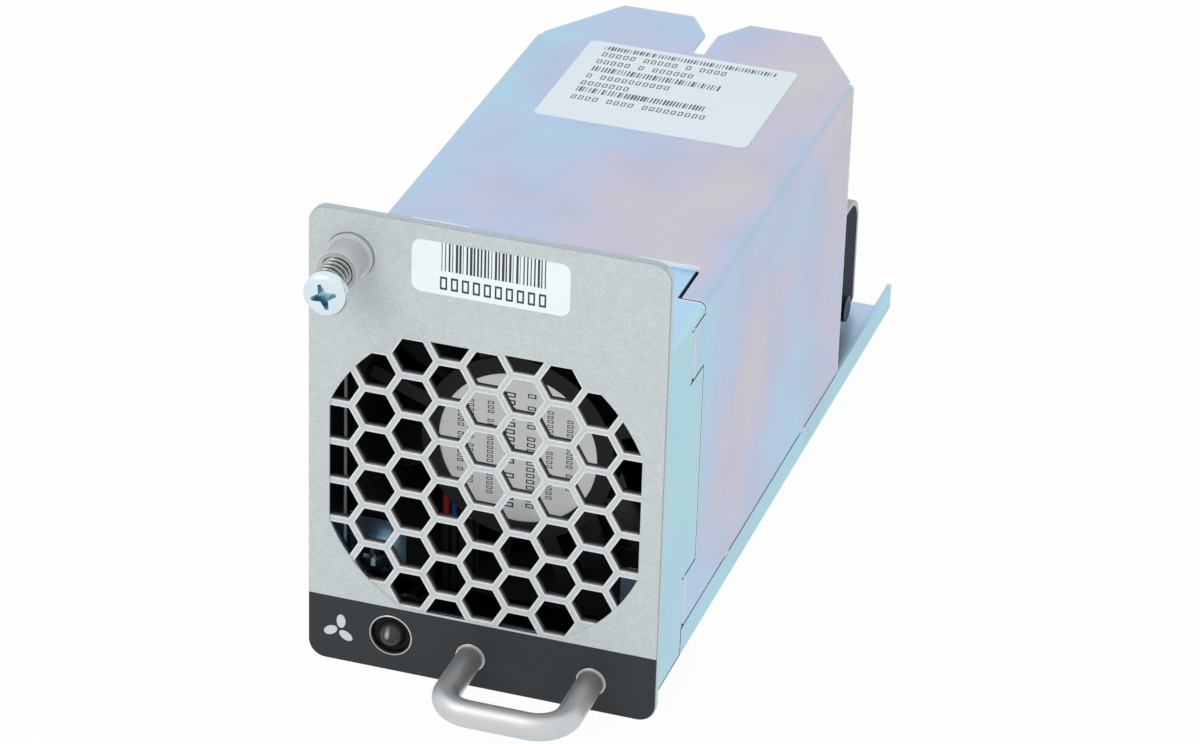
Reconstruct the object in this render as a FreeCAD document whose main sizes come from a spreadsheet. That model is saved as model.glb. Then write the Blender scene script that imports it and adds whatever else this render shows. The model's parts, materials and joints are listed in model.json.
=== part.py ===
"""Plug-in fan module: sheet-metal sleeve with a honeycomb front panel and two axial fans in series.

Millimetres. X runs to the right, Y runs into the bay and Z runs up, seen from the front panel. Places are
worked out from the panel's front face (y = 0) and bottom edge (z = 0), and every node is then moved along Y
so that the origin lies under the middle of the whole module.
"""
import FreeCAD, Part
import math
import os
from types import SimpleNamespace

import Sketcher

SIZES = {
    # Sheet metal
    "sheet": 0.8, "bend": 0.4, "seam": 0.35, "joint_gap": 0.15,
    # How far a cutting tool runs past the face it cuts
    "overrun": 1.0,
    # Front panel and its printed film
    "panel_width": 63.3, "panel_height": 87.5, "panel_metal": 1.3, "panel_corner": 3.2,
    "film": 0.3, "film_margin": 0.15, "film_relief": 0.35,
    "grille_z": 39.45, "grille_radius": 30.1, "grille_margin": 3.85, "grille_half_height": 26.4,
    "hex_across": 6.35, "hex_web": 1.22,
    # Labels
    "label_film": 0.1, "front_label_x": 0.55, "front_label_drop": 7.6,
    "front_label_width": 27.7, "front_label_height": 9.6, "label_corner": 1.7,
    "top_label_width": 40.4, "top_label_length": 34.2, "top_label_y": 99.5, "top_label_corner": 1.2,
    # Status light
    "light_x": -16.43, "light_z": 7.1, "light_ring": 3.95, "light_hole": 3.5, "light_body": 2.3,
    "light_dome_y": 0.8, "light_recess": 0.9, "light_holder_length": 7.1, "light_flange": 4.6,
    "light_rim": 1.0, "light_lead_run": 5.0, "light_lead_dip": 12.0,
    # Pull handle
    "handle_rod": 2.375, "handle_x": 9.15, "handle_span": 21.9, "handle_z": 5.85, "handle_reach": 17.1,
    "handle_bend": 5.6, "handle_screw": 1.5, "handle_screw_head": 2.8, "handle_screw_depth": 8.0,
    "screw_head_height": 2.0,
    # Captive screw
    "captive_inset": 7.6, "captive_drop": 8.0, "captive_lean": 0.65, "captive_sag": 0.8,
    "ferrule_lip": 3.75, "ferrule_lip_height": 1.0, "ferrule_barrel": 3.55, "ferrule_bore": 2.9,
    "ferrule_reach": 6.8, "ferrule_flange": 4.05,
    "ferrule_flange_height": 1.2, "ferrule_neck": 3.2, "ferrule_hole": 2.4, "ferrule_seat": 0.0,
    "captive_head": 3.8, "captive_head_height": 2.2, "captive_travel": 5.2, "captive_shank": 1.2,
    "captive_thread": 1.75, "captive_thread_start": 8.0, "captive_length": 14.0,
    "captive_recess_depth": 1.3, "captive_recess_reach": 2.0,
    "spring_radius": 2.52, "spring_wire": 0.25, "spring_coils": 9.25,
    "ring_radius": 3.4, "ring_height": 0.5,
    # Front bracket
    "sleeve_inset": 0.65, "sleeve_drop": 17.6, "bracket_reach": 23.0, "bracket_top_reach": 22.6,
    "bracket_foot_reach": 15.85, "plate_bottom": 1.0, "plate_drop": 2.0,
    "plate_relief": 0.5, "ear_inset": 5.3, "ear_chamfer": 1.4, "ear_bend": 1.1,
    "ear_narrow": 3.4, "ear_wide": 6.4, "ear_under": 5.2, "ear_over": 4.5,
    "tongue_near": 14.8, "tongue_far": 25.6, "tongue_start": 18.5, "tongue_end": 40.0,
    # Sleeve cover
    "cover_notch_near": 14.5, "cover_notch_far": 26.7, "cover_notch_end": 34.8,
    "cover_notch_corner": 1.6, "cover_rear": 116.0, "lobe_rear": 134.3, "lobe_outer": 19.4,
    "lobe_inner": 5.6, "lobe_shoulder": 115.3, "slot_half_width": 1.25, "slot_bottom": 118.4,
    "slot_mouth": 127.3, "lip_groove": 0.5,
    "tooth_half_width": 0.8, "front_tooth_y": 43.7, "rear_tooth_y": 91.9, "tooth_depth": 0.8,
    # Base tray
    "base_bottom": 3.3, "lip_height": 6.0, "lip_front": 16.35, "base_rear": 155.6, "screw_notch": 3.8,
    # Fans
    "fan_front": 17.3, "fan_side_gap": 0.2, "fan_depth": 38.0, "fan_corner": 5.0, "fan_clearance": 0.1,
    "under_room": 4.1,
    "fan_flange": 4.0, "fan_wall": 1.3, "bell_wall": 0.5, "bell_depth": 2.5, "bolt_inset": 5.0,
    "bolt": 1.95, "bolt_clearance": 0.25, "bolt_head": 3.5, "bolt_head_height": 2.4, "bolt_end": 2.0,
    "nut_across": 7.0, "nut_height": 3.2,
    "hub_radius": 17.5, "hub_face": 0.3, "hub_wall": 1.55, "hub_skirt": 7.0, "hub_label": 14.4,
    "hub_label_seat": 0.65, "strut_width": 2.6, "strut_front": 0.8, "strut_rear": 6.0,
    "tube_outer": 5.0, "tube_bore": 4.0, "tube_end": 25.5, "shaft": 1.46, "bearing_bore": 1.5,
    "bearing_length": 4.0, "front_bearing_y": 4.6, "rear_bearing_y": 20.5, "shaft_tip": 2.6,
    "clip_y": 3.4, "clip_height": 0.5, "clip_radius": 2.5, "clip_groove": 1.1, "clip_play": 0.05,
    "motor_board": 15.8, "motor_board_y": 4.0, "motor_board_height": 1.2,
    "core_front": 9.5, "core_rear": 19.5, "core_ring": 7.5, "core_radius": 12.4, "core_shoe": 1.5,
    "shoe_half_width": 5.5, "arm_half_width": 2.0, "coil_inner": 7.8, "coil_outer": 10.0,
    "coil_half_width": 4.0, "coil_overhang": 1.0,
    "magnet_inner": 13.2, "magnet_outer": 15.0, "magnet_front": 9.0, "magnet_rear": 21.0,
    "yoke_outer": 16.0, "yoke_front": 8.6, "yoke_rear": 34.9, "yoke_wall": 1.2, "bush_radius": 4.0,
    "bush_front": 26.5, "cup_outer": 17.2, "cup_front": 8.0, "cup_rear": 36.6,
    "blade_clearance": 0.7, "blade_front": 10.0, "blade_rear": 34.0, "blade_sweep": 8.0,
    "blade_root_sweep": 6.0, "blade_camber": 2.4, "blade_thickness": 1.3,
    # Leads
    "wire": 0.6, "wire_pitch": 1.5, "wire_bend": 2.4, "lead_x": -11.5, "lead_start": 6.5,
    "lead_strut_top": 14.2, "lead_play": 0.4, "lead_gap": 0.1, "lead_layer": 1.3, "light_lead_pitch": 2.54,
    # Connector board
    "board_x": 22.4, "board_thickness": 1.6, "board_front": 111.0, "board_rear": 153.5, "board_bottom": 6.0,
    "board_top": 29.7, "board_corner": 6.0, "finger_film": 0.1, "finger_length": 6.0, "finger_width": 1.2,
    "finger_pitch": 1.9, "finger_low": 7.6, "finger_setback": 0.6,
    "board_flange_width": 10.0, "board_flange_front": 116.0, "board_flange_rear": 145.5,
    "board_flange_top": 13.6, "board_screw": 1.45, "board_screw_head": 2.6, "board_screw_z": 10.0,
    "board_screw_setback": 4.5, "board_screw_end": 1.2,
    "plug_length": 6.5, "plug_half_height": 2.2, "plug_margin": 1.0, "header_height": 2.4,
    "rear_plug_y": 117.0, "rear_plug_z": 23.0, "front_plug_y": 127.5, "front_plug_z": 17.5,
    "light_plug_y": 136.5, "light_plug_z": 17.5, "rise_length": 12.0,
    "rear_rise_y": 97.5, "front_rise_y": 107.0, "light_rise_y": 117.0,
}
HEXES_EACH_WAY = 5
BLADES = 7
STRUT_ANGLES = (20, 110, 160, 290)
FINGERS = 10
ALONG_Y = FreeCAD.Rotation(FreeCAD.Vector(1, 0, 0), -90)
ALONG_X = FreeCAD.Rotation(FreeCAD.Vector(0, 1, 0), 90)

doc = FreeCAD.newDocument("fan_module")
sheet = doc.addObject("Spreadsheet::Sheet", "Sizes")
nodes = []
places = {}


class Size:
    """A length that carries its value and the sheet expression that gives it."""

    def __init__(self, value, text):
        self.value = value
        self.text = text

    def __add__(self, other):
        return Size(self.value + number(other), f"({self.text} + {words(other)})")

    __radd__ = __add__

    def __sub__(self, other):
        return Size(self.value - number(other), f"({self.text} - {words(other)})")

    def __rsub__(self, other):
        return Size(number(other) - self.value, f"({words(other)} - {self.text})")

    def __mul__(self, other):
        return Size(self.value * number(other), f"({self.text} * {words(other)})")

    __rmul__ = __mul__

    def __truediv__(self, other):
        return Size(self.value / number(other), f"({self.text} / {words(other)})")

    def __neg__(self):
        return Size(-self.value, f"(0 - {self.text})")


def number(size):
    return size.value if isinstance(size, Size) else size


def words(size):
    return size.text if isinstance(size, Size) else f"({size!r})"


def least(first, second):
    return Size(min(number(first), number(second)), f"min({words(first)}; {words(second)})")


def fill_sheet():
    """Write each driving dimension to a cell of the sheet under its own alias."""
    for row, (alias, value) in enumerate(SIZES.items(), 1):
        sheet.set(f"A{row}", alias.replace("_", " "))
        sheet.set(f"B{row}", str(value))
        sheet.setAlias(f"B{row}", alias)
    doc.recompute()
    return SimpleNamespace(**{a: Size(float(sheet.get(a)), f"Sizes.{a}") for a in SIZES})


d = fill_sheet()


def bind(item, path, size):
    item.setExpression(path, words(size))


def place(item, x, y, z, rotation=FreeCAD.Rotation()):
    item.Placement = FreeCAD.Placement(FreeCAD.Vector(), rotation)
    for axis, size in zip("xyz", (x, y, z)):
        bind(item, f"Placement.Base.{axis}", size)
    places[item.Name] = y
    return item


def node(label, item):
    """Name a finished sub-part; its label is also its file's name."""
    item.Label = label
    nodes.append(item)
    return item


def box(name, x, y, z):
    """A block between two places on each axis."""
    item = doc.addObject("Part::Box", name)
    for path, (low, high) in zip(("Length", "Width", "Height"), (x, y, z)):
        bind(item, path, high - low)
    return place(item, x[0], y[0], z[0])


def rod(name, x, y, z, radius):
    """A round bar along Y between the two places in y."""
    item = doc.addObject("Part::Cylinder", name)
    bind(item, "Radius", radius)
    bind(item, "Height", y[1] - y[0])
    return place(item, x, y[0], z, ALONG_Y)


def cross_rod(name, x, y, z, radius):
    """A round bar along X between the two places in x."""
    item = doc.addObject("Part::Cylinder", name)
    bind(item, "Radius", radius)
    bind(item, "Height", x[1] - x[0])
    return place(item, x[0], y, z, ALONG_X)


def spoke(name, centre, angle, reach, half_width, y):
    """A block along a radius in the XZ plane, turned about the Y line through centre."""
    along, across = math.cos(math.radians(angle)), math.sin(math.radians(angle))
    item = doc.addObject("Part::Box", name)
    bind(item, "Length", reach[1] - reach[0])
    bind(item, "Width", y[1] - y[0])
    bind(item, "Height", 2 * half_width)
    x = centre[0] + reach[0] * along + half_width * across
    z = centre[1] + reach[0] * across - half_width * along
    return place(item, x, y[0], z, FreeCAD.Rotation(FreeCAD.Vector(0, 1, 0), -angle))


def join(name, items):
    item = doc.addObject("Part::MultiFuse", name)
    item.Shapes = items
    return item


def carve(name, base, tools):
    item = doc.addObject("Part::Cut", name)
    item.Base = base
    item.Tool = tools[0] if len(tools) == 1 else join(name + "_tools", tools)
    return item


def common(name, first, second):
    item = doc.addObject("Part::Common", name)
    item.Base = first
    item.Tool = second
    return item


def feature(name, shape):
    item = doc.addObject("Part::Feature", name)
    item.Shape = shape
    return item


def sides(near, far):
    """The same stretch of X on the right and on the left."""
    return (("right", (near, far)), ("left", (-far, -near)))


def draw_on(body, role, offset):
    """A sketch on one of the body's own planes, set off along the plane's normal."""
    drawing = body.newObject("Sketcher::SketchObject", body.Name + "_sketch")
    plane = next(item for item in body.Origin.OriginFeatures if item.Role == role)
    drawing.AttachmentSupport = [(plane, "")]
    drawing.MapMode = "FlatFace"
    bind(drawing, "AttachmentOffset.Base.z", offset)
    return drawing


def dimension(drawing, curve, point, place_xy):
    """Fix one end of a curve at a place given by two driven dimensions."""
    for kind, axis, size in zip(("DistanceX", "DistanceY"), (-2, -1), place_xy):
        if not isinstance(size, Size) and size == 0:
            drawing.addConstraint(Sketcher.Constraint("PointOnObject", curve, point, axis))
            continue
        index = drawing.addConstraint(Sketcher.Constraint(kind, -1, 1, curve, point, number(size)))
        bind(drawing, f"Constraints[{index}]", size)


def vector(point):
    return FreeCAD.Vector(*(number(size) for size in point))


def step_towards(corner, other):
    """Unit step along X or along Y from a square corner to its neighbour."""
    across = number(other[0]) - number(corner[0])
    up = number(other[1]) - number(corner[1])
    return (math.copysign(1, across), 0) if abs(across) > abs(up) else (0, math.copysign(1, up))


def trace(drawing, points, closed=True):
    """Draw straight runs through (x, y) places; (x, y, radius) rounds a square corner with an arc."""
    stations = []
    for index, point in enumerate(points):
        entry = leave = point[:2]
        if len(point) == 3:
            back = step_towards(point, points[index - 1])
            ahead = step_towards(point, points[(index + 1) % len(points)])
            entry = tuple(size + point[2] * step for size, step in zip(point, back))
            leave = tuple(size + point[2] * step for size, step in zip(point, ahead))
        stations.append((entry, leave, point))
    runs = list(zip(stations, stations[1:] + (stations[:1] if closed else [])))
    lines = [drawing.addGeometry(Part.LineSegment(vector((*a[1], 0)), vector((*b[0], 0)))) for a, b in runs]
    for line, (start, end) in zip(lines, runs):
        dimension(drawing, line, 1, start[1])
        if len(end[2]) == 3 or not closed and end is stations[-1]:
            dimension(drawing, line, 2, end[0])
    for line, following in zip(lines, lines[1:] + (lines[:1] if closed else [])):
        end = runs[lines.index(line)][1]
        if len(end[2]) == 3:
            round_corner(drawing, line, following, end)
        else:
            drawing.addConstraint(Sketcher.Constraint("Coincident", line, 2, following, 1))


def round_corner(drawing, line, following, station):
    """Join two lines with a quarter arc that meets both of them squarely."""
    entry, leave, (x, y, radius) = station
    corner, start, end = vector((x, y, 0)), vector((*entry, 0)), vector((*leave, 0))
    centre = start + end - corner
    turn = (start - centre).cross(end - centre).z
    first, last = (start, end) if turn > 0 else (end, start)
    angles = [math.atan2((p - centre).y, (p - centre).x) for p in (first, last)]
    circle = Part.Circle(centre, FreeCAD.Vector(0, 0, 1), number(radius))
    arc = drawing.addGeometry(Part.ArcOfCircle(circle, angles[0], angles[1]))
    near, far = (1, 2) if turn > 0 else (2, 1)
    drawing.addConstraint(Sketcher.Constraint("Coincident", line, 2, arc, near))
    drawing.addConstraint(Sketcher.Constraint("Coincident", following, 1, arc, far))
    index = drawing.addConstraint(Sketcher.Constraint("Radius", arc, number(radius)))
    bind(drawing, f"Constraints[{index}]", radius)


def plate(name, role, span, points):
    """A padded outline between two places along the plane's own axis."""
    body = doc.addObject("PartDesign::Body", name)
    low, high = span
    drawing = draw_on(body, role, -high if role == "XZ_Plane" else low)
    trace(drawing, points)
    pad = body.newObject("PartDesign::Pad", name + "_pad")
    pad.Profile = drawing
    bind(pad, "Length", high - low)
    return body


def turned(name, x, y, z, points):
    """A turned piece: an outline of (radius, place along Y) spun about the Y line through (x, z)."""
    body = doc.addObject("PartDesign::Body", name)
    drawing = draw_on(body, "XY_Plane", 0)
    trace(drawing, points)
    spin = body.newObject("PartDesign::Revolution", name + "_spin")
    spin.Profile = drawing
    spin.ReferenceAxis = (drawing, ["V_Axis"])
    spin.Angle = 360
    return place(body, x, y, z)


def ring(name, x, y, z, radii, span):
    """A turned ring with a square section."""
    (inner, outer), (low, high) = radii, span
    return turned(name, x, y, z, [(inner, low), (outer, low), (outer, high), (inner, high)])


def rectangle(x, z, corner):
    """A rounded outline between two places on each axis."""
    return [(x[0], z[0], corner), (x[1], z[0], corner), (x[1], z[1], corner), (x[0], z[1], corner)]


def cable(points, radius, bend):
    """A round wire along straight runs joined by tangent arcs."""
    edges = []
    start = points[0]
    for corner, following in zip(points[1:-1], points[2:]):
        back = (start - corner).normalize()
        ahead = (following - corner).normalize()
        turn = math.pi - back.getAngle(ahead)
        reach = bend * math.tan(turn / 2)
        middle = (back + ahead).normalize() * (bend / math.cos(turn / 2) - bend)
        edges.append(Part.LineSegment(start, corner + back * reach).toShape())
        edges.append(Part.Arc(corner + back * reach, corner + middle, corner + ahead * reach).toShape())
        start = corner + ahead * reach
    edges.append(Part.LineSegment(start, points[-1]).toShape())
    section = Part.Wire(Part.Circle(points[0], points[1] - points[0], radius).toShape())
    return Part.Wire(edges).makePipeShell([section], True, False)


# Places that several pieces share
panel_back = d.film + d.panel_metal
plate_back = panel_back + d.sheet
grille_half_width = d.panel_width / 2 - d.grille_margin
sleeve_half_width = d.panel_width / 2 - d.sleeve_inset
sleeve_inner = sleeve_half_width - d.sheet
sleeve_top = d.panel_height - d.sleeve_drop
sleeve_ceiling = sleeve_top - d.sheet
floor_top = d.base_bottom + d.sheet
lip_top = d.base_bottom + d.lip_height
ear_back = d.fan_front
ear_front = ear_back - d.sheet
fan_ceiling = sleeve_ceiling - d.sheet - d.fan_clearance
fan_half = least(sleeve_inner - d.fan_side_gap, (fan_ceiling - floor_top - d.under_room) / 2)
fan_bore = fan_half - d.fan_wall
bell_radius = fan_half - d.bell_wall
blade_tip = fan_bore - d.blade_clearance
fan_z = fan_ceiling - fan_half
bolt_reach = fan_half - d.bolt_inset
bolt_places = [(sx * bolt_reach, fan_z + sz * bolt_reach) for sx in (-1, 1) for sz in (-1, 1)]
ear_tip = bolt_reach - d.ear_inset
lower_ear = (fan_z - bolt_reach - d.ear_narrow, fan_z - bolt_reach + d.ear_wide)
upper_ear = (fan_z + bolt_reach - d.ear_under, fan_z + bolt_reach + d.ear_over)
handle_legs = [d.handle_x - d.handle_span / 2, d.handle_x + d.handle_span / 2]
light_back = d.light_recess + d.light_holder_length
stack_back = d.fan_front + 2 * d.fan_depth
captive_x = d.captive_inset - d.panel_width / 2
captive_z = d.panel_height - d.captive_drop
captive_line = (captive_x + d.captive_lean, captive_z - d.captive_sag)
head_seat = -(d.ferrule_reach + d.captive_travel + d.seam)
origin_y = (d.base_rear - d.handle_reach - d.handle_rod) / 2


def grille_opening(name, y, relief):
    """The round opening with flattened sides that shows the honeycomb."""
    disc = rod(name + "_disc", 0, y, d.grille_z, d.grille_radius + relief)
    width, height = grille_half_width + relief, d.grille_half_height + relief
    flats = box(name + "_flats", (-width, width), y, (d.grille_z - height, d.grille_z + height))
    return common(name, disc, flats)


def honeycomb(name, y):
    """Hexagonal prisms on a close-packed pattern, where their centres fall inside the opening."""
    pitch = number(d.hex_across + d.hex_web)
    reach = number(d.hex_across) / math.sqrt(3)
    low, high = (number(size) for size in y)
    cells = []
    for column in range(-HEXES_EACH_WAY, HEXES_EACH_WAY + 1):
        for row in range(-HEXES_EACH_WAY, HEXES_EACH_WAY + 1):
            x = column * pitch * math.sqrt(3) / 2
            rise = (row + 0.5 * (column % 2)) * pitch
            if math.hypot(x, rise) > number(d.grille_radius + d.hex_web):
                continue
            if abs(rise) > number(d.grille_half_height + d.hex_web):
                continue
            if abs(x) > number(grille_half_width + d.hex_web):
                continue
            z = number(d.grille_z) + rise
            turns = [math.radians(60 * k) for k in range(7)]
            ends = [FreeCAD.Vector(x + reach * math.cos(a), low, z + reach * math.sin(a)) for a in turns]
            cells.append(Part.Face(Part.makePolygon(ends)).extrude(FreeCAD.Vector(0, high - low, 0)))
    return feature(name, Part.makeCompound(cells))


def make_panel():
    half = d.panel_width / 2
    metal = (d.film, panel_back)
    blank = plate("panel_blank", "XZ_Plane", metal,
                  rectangle((-half, half), (0, d.panel_height), d.panel_corner))
    through = (d.film - d.overrun, panel_back + d.overrun)
    cuts = [honeycomb("panel_cells", through),
            rod("panel_light_hole", d.light_x, through, d.light_z, d.light_hole),
            rod("panel_ferrule_hole", captive_x, through, captive_z, d.ferrule_neck)]
    cuts += [rod(f"panel_handle_hole_{k}", x, through, d.handle_z, d.handle_screw + d.joint_gap)
             for k, x in enumerate(handle_legs)]
    node("front_panel", carve("front_panel", blank, cuts))

    edge = half - d.film_margin
    blank = plate("film_blank", "XZ_Plane", (0, d.film),
                  rectangle((-edge, edge), (d.film_margin, d.panel_height - d.film_margin),
                            d.panel_corner - d.film_margin))
    through = (-d.film, 2 * d.film)
    cuts = [grille_opening("film_opening", through, 0),
            rod("film_light_hole", d.light_x, through, d.light_z, d.light_ring),
            rod("film_ferrule_hole", captive_x, through, captive_z, d.ferrule_flange + d.joint_gap)]
    cuts += [rod(f"film_handle_hole_{k}", x, through, d.handle_z, d.handle_rod + d.film_relief)
             for k, x in enumerate(handle_legs)]
    node("panel_overlay", carve("panel_overlay", blank, cuts))


def make_labels():
    width, height = d.front_label_width / 2, d.front_label_height / 2
    middle = d.panel_height - d.front_label_drop
    outline = rectangle((d.front_label_x - width, d.front_label_x + width),
                        (middle - height, middle + height), d.label_corner)
    node("front_label", plate("front_label", "XZ_Plane", (-d.label_film, 0), outline))
    width, length = d.top_label_width / 2, d.top_label_length / 2
    outline = rectangle((-width, width), (d.top_label_y - length, d.top_label_y + length),
                        d.top_label_corner)
    node("top_label", plate("top_label", "XY_Plane", (sleeve_top, sleeve_top + d.label_film), outline))


def make_light():
    bore = d.light_body + d.joint_gap
    sleeve = d.light_hole - d.joint_gap
    node("light_holder", turned("light_holder", d.light_x, 0, d.light_z, [
        (bore, d.light_recess), (sleeve, d.light_recess), (sleeve, plate_back), (d.light_flange, plate_back),
        (d.light_flange, plate_back + d.light_rim), (sleeve, plate_back + d.light_rim), (sleeve, light_back),
        (bore, light_back)]))
    dome = place(doc.addObject("Part::Sphere", "light_dome"), d.light_x, d.light_dome_y, d.light_z)
    bind(dome, "Radius", d.light_body)
    barrel = rod("light_barrel", d.light_x, (d.light_dome_y, light_back), d.light_z, d.light_body)
    rim = rod("light_rim_disc", d.light_x, (light_back, light_back + d.light_rim), d.light_z,
              d.light_hole - d.joint_gap)
    node("status_light", join("status_light", [dome, barrel, rim]))


def make_handle():
    body = doc.addObject("PartDesign::Body", "handle_path_body")
    path = draw_on(body, "XY_Plane", d.handle_z)
    left, right = handle_legs
    trace(path, [(left, d.film), (left, -d.handle_reach, d.handle_bend),
                 (right, -d.handle_reach, d.handle_bend), (right, d.film)], closed=False)
    section = doc.addObject("Part::Circle", "handle_section")
    bind(section, "Radius", d.handle_rod)
    place(section, left, d.film, d.handle_z, ALONG_Y)
    rail = doc.addObject("Part::Sweep", "handle_rail")
    rail.Sections = [section]
    rail.Spine = (path, [f"Edge{k}" for k in range(1, 6)])
    rail.Solid = True
    rail.Frenet = True
    tapped = [rod(f"handle_tap_{k}", x, (-d.handle_screw_depth, panel_back), d.handle_z, d.handle_screw)
              for k, x in enumerate(handle_legs)]
    node("pull_handle", carve("pull_handle", rail, tapped))
    tip = d.joint_gap - d.handle_screw_depth
    top = plate_back + d.screw_head_height
    screws = []
    for k, x in enumerate(handle_legs):
        blank = turned(f"handle_screw_{k}", x, 0, d.handle_z, [
            (0, tip), (d.handle_screw, tip), (d.handle_screw, plate_back), (d.handle_screw_head, plate_back),
            (d.handle_screw_head, top), (0, top)])
        screws.append(carve(f"handle_screw_{k}_cut", blank, cross_recess(
            f"handle_screw_{k}", (x, d.handle_z), (top - d.screw_head_height / 2, top + d.overrun),
            d.handle_screw_head / 2)))
    node("handle_screws", join("handle_screws", screws))


def cross_recess(name, centre, y, half_length):
    """Two crossed slots for a cross-head driver."""
    half_width = half_length / 4
    (x, z) = centre
    return [box(name + "_slot_a", (x - half_length, x + half_length), y, (z - half_width, z + half_width)),
            box(name + "_slot_b", (x - half_width, x + half_width), y, (z - half_length, z + half_length))]


def make_captive_screw():
    node("captive_ferrule", turned("captive_ferrule", captive_x, 0, captive_z, [
        (d.ferrule_bore, -d.ferrule_reach), (d.ferrule_lip, -d.ferrule_reach),
        (d.ferrule_lip, d.ferrule_lip_height - d.ferrule_reach),
        (d.ferrule_barrel, d.ferrule_lip_height - d.ferrule_reach),
        (d.ferrule_barrel, d.film - d.ferrule_flange_height),
        (d.ferrule_flange, d.film - d.ferrule_flange_height), (d.ferrule_flange, d.film),
        (d.ferrule_neck, d.film), (d.ferrule_neck, plate_back), (d.ferrule_hole, plate_back),
        (d.ferrule_hole, d.ferrule_seat), (d.ferrule_bore, d.ferrule_seat)]))

    length = d.ferrule_seat - head_seat - 2 * d.spring_wire
    helix = doc.addObject("Part::Helix", "spring_helix")
    bind(helix, "Radius", d.spring_radius)
    bind(helix, "Height", length)
    bind(helix, "Pitch", length / d.spring_coils)
    start = head_seat + d.spring_wire
    place(helix, captive_x, start, captive_z, ALONG_Y)
    section = doc.addObject("Part::Circle", "spring_section")
    bind(section, "Radius", d.spring_wire)
    place(section, captive_x + d.spring_radius, start, captive_z)
    spring = doc.addObject("Part::Sweep", "captive_spring")
    spring.Sections = [section]
    spring.Spine = (helix, ["Edge1"])
    spring.Solid = True
    spring.Frenet = True
    node("captive_spring", spring)

    x, z = captive_line
    top = head_seat - d.captive_head_height
    bevel = d.captive_head_height / 4
    lead_in = d.captive_thread - d.captive_shank
    blank = turned("captive_screw_blank", x, 0, z, [
        (0, top), (d.captive_head - bevel, top), (d.captive_head, top + bevel), (d.captive_head, head_seat),
        (d.captive_shank, head_seat), (d.captive_shank, d.captive_thread_start),
        (d.captive_thread, d.captive_thread_start + lead_in), (d.captive_thread, d.captive_length - lead_in),
        (d.captive_shank, d.captive_length), (0, d.captive_length)])
    recess = cross_recess("captive_recess", captive_line, (top - d.overrun, top + d.captive_recess_depth),
                          d.captive_recess_reach)
    node("captive_screw", carve("captive_screw", blank, recess))
    low = plate_back + d.joint_gap
    node("captive_ring", ring("captive_ring", x, 0, z, (d.captive_shank + d.clip_play, d.ring_radius),
                              (low, low + d.ring_height)))


def sleeve_section(bottom, top):
    """An upside-down channel of sheet with rounded bends."""
    outer, inner = sleeve_half_width, sleeve_inner
    crown = d.bend + d.sheet
    return [(outer, bottom), (outer, top, crown), (-outer, top, crown), (-outer, bottom), (-inner, bottom),
            (-inner, top - d.sheet, d.bend), (inner, top - d.sheet, d.bend), (inner, bottom)]


def make_bracket():
    channel = plate("bracket_channel", "XZ_Plane", (panel_back, d.bracket_reach),
                    sleeve_section(floor_top + d.seam, sleeve_top))
    wide = sleeve_half_width + d.overrun
    past = d.bracket_reach + d.overrun
    cuts = [box("bracket_top_cut", (-wide, wide), (d.bracket_top_reach, past),
                (upper_ear[1] + d.seam, sleeve_top + d.overrun))]
    for side, x in sides(sleeve_inner - d.bend - d.overrun, wide):
        cuts.append(box(f"bracket_foot_cut_{side}", x, (d.bracket_foot_reach, past), (0, lower_ear[0])))
        cuts.append(box(f"bracket_low_cut_{side}", x, (ear_front - d.ear_bend, past),
                        (lower_ear[0], lower_ear[1] + d.seam)))
        cuts.append(box(f"bracket_high_cut_{side}", x, (ear_front - d.ear_bend, past),
                        (upper_ear[0] - d.seam, upper_ear[1] + d.seam)))
    pieces = [carve("bracket_sides", channel, cuts)]

    wall = plate("bracket_plate", "XZ_Plane", (panel_back, plate_back),
                 rectangle((-sleeve_inner, sleeve_inner), (d.plate_bottom, d.panel_height - d.plate_drop),
                           d.panel_corner))
    through = (panel_back - d.overrun, plate_back + d.overrun)
    holes = [grille_opening("bracket_opening", through, d.plate_relief),
             rod("bracket_light_hole", d.light_x, through, d.light_z, d.light_hole),
             rod("bracket_ferrule_hole", captive_x, through, captive_z, d.ferrule_neck)]
    holes += [rod(f"bracket_handle_hole_{k}", x, through, d.handle_z, d.handle_screw + d.joint_gap)
              for k, x in enumerate(handle_legs)]
    pieces.append(carve("bracket_face", wall, holes))

    for level, (low, high) in (("low", lower_ear), ("high", upper_ear)):
        for side, flip in (("right", 1), ("left", -1)):
            pieces.extend(bracket_ear(f"ear_{level}_{side}", flip, low, high))
    for side, x in sides(d.tongue_near, d.tongue_far):
        pieces.append(box(f"tongue_{side}", x, (d.tongue_start, d.tongue_end),
                          (sleeve_ceiling - d.sheet, sleeve_ceiling)))
    through = (ear_front - d.overrun, ear_back + d.overrun)
    holes = [rod(f"ear_hole_{k}", x, through, z, d.bolt + d.bolt_clearance)
             for k, (x, z) in enumerate(bolt_places)]
    node("front_bracket", carve("front_bracket", join("bracket_blank", pieces), holes))


def bracket_ear(name, flip, low, high):
    """An ear bent inwards from the side of the bracket, with its inner top corner cut off."""
    outer, inner = flip * sleeve_half_width, flip * sleeve_inner
    root = inner - flip * d.sheet
    start = ear_front - d.ear_bend
    corner = plate(name + "_bend", "XY_Plane", (low, high), [
        (inner, start), (outer, start), (outer, ear_back, d.ear_bend), (root, ear_back), (root, ear_front),
        (inner, ear_front)])
    tip, bevel = flip * ear_tip, d.ear_chamfer
    flat = plate(name + "_flat", "XZ_Plane", (ear_front, ear_back), [
        (inner, low), (tip, low), (tip, high - bevel), (tip + flip * bevel, high), (inner, high)])
    return corner, flat


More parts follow.
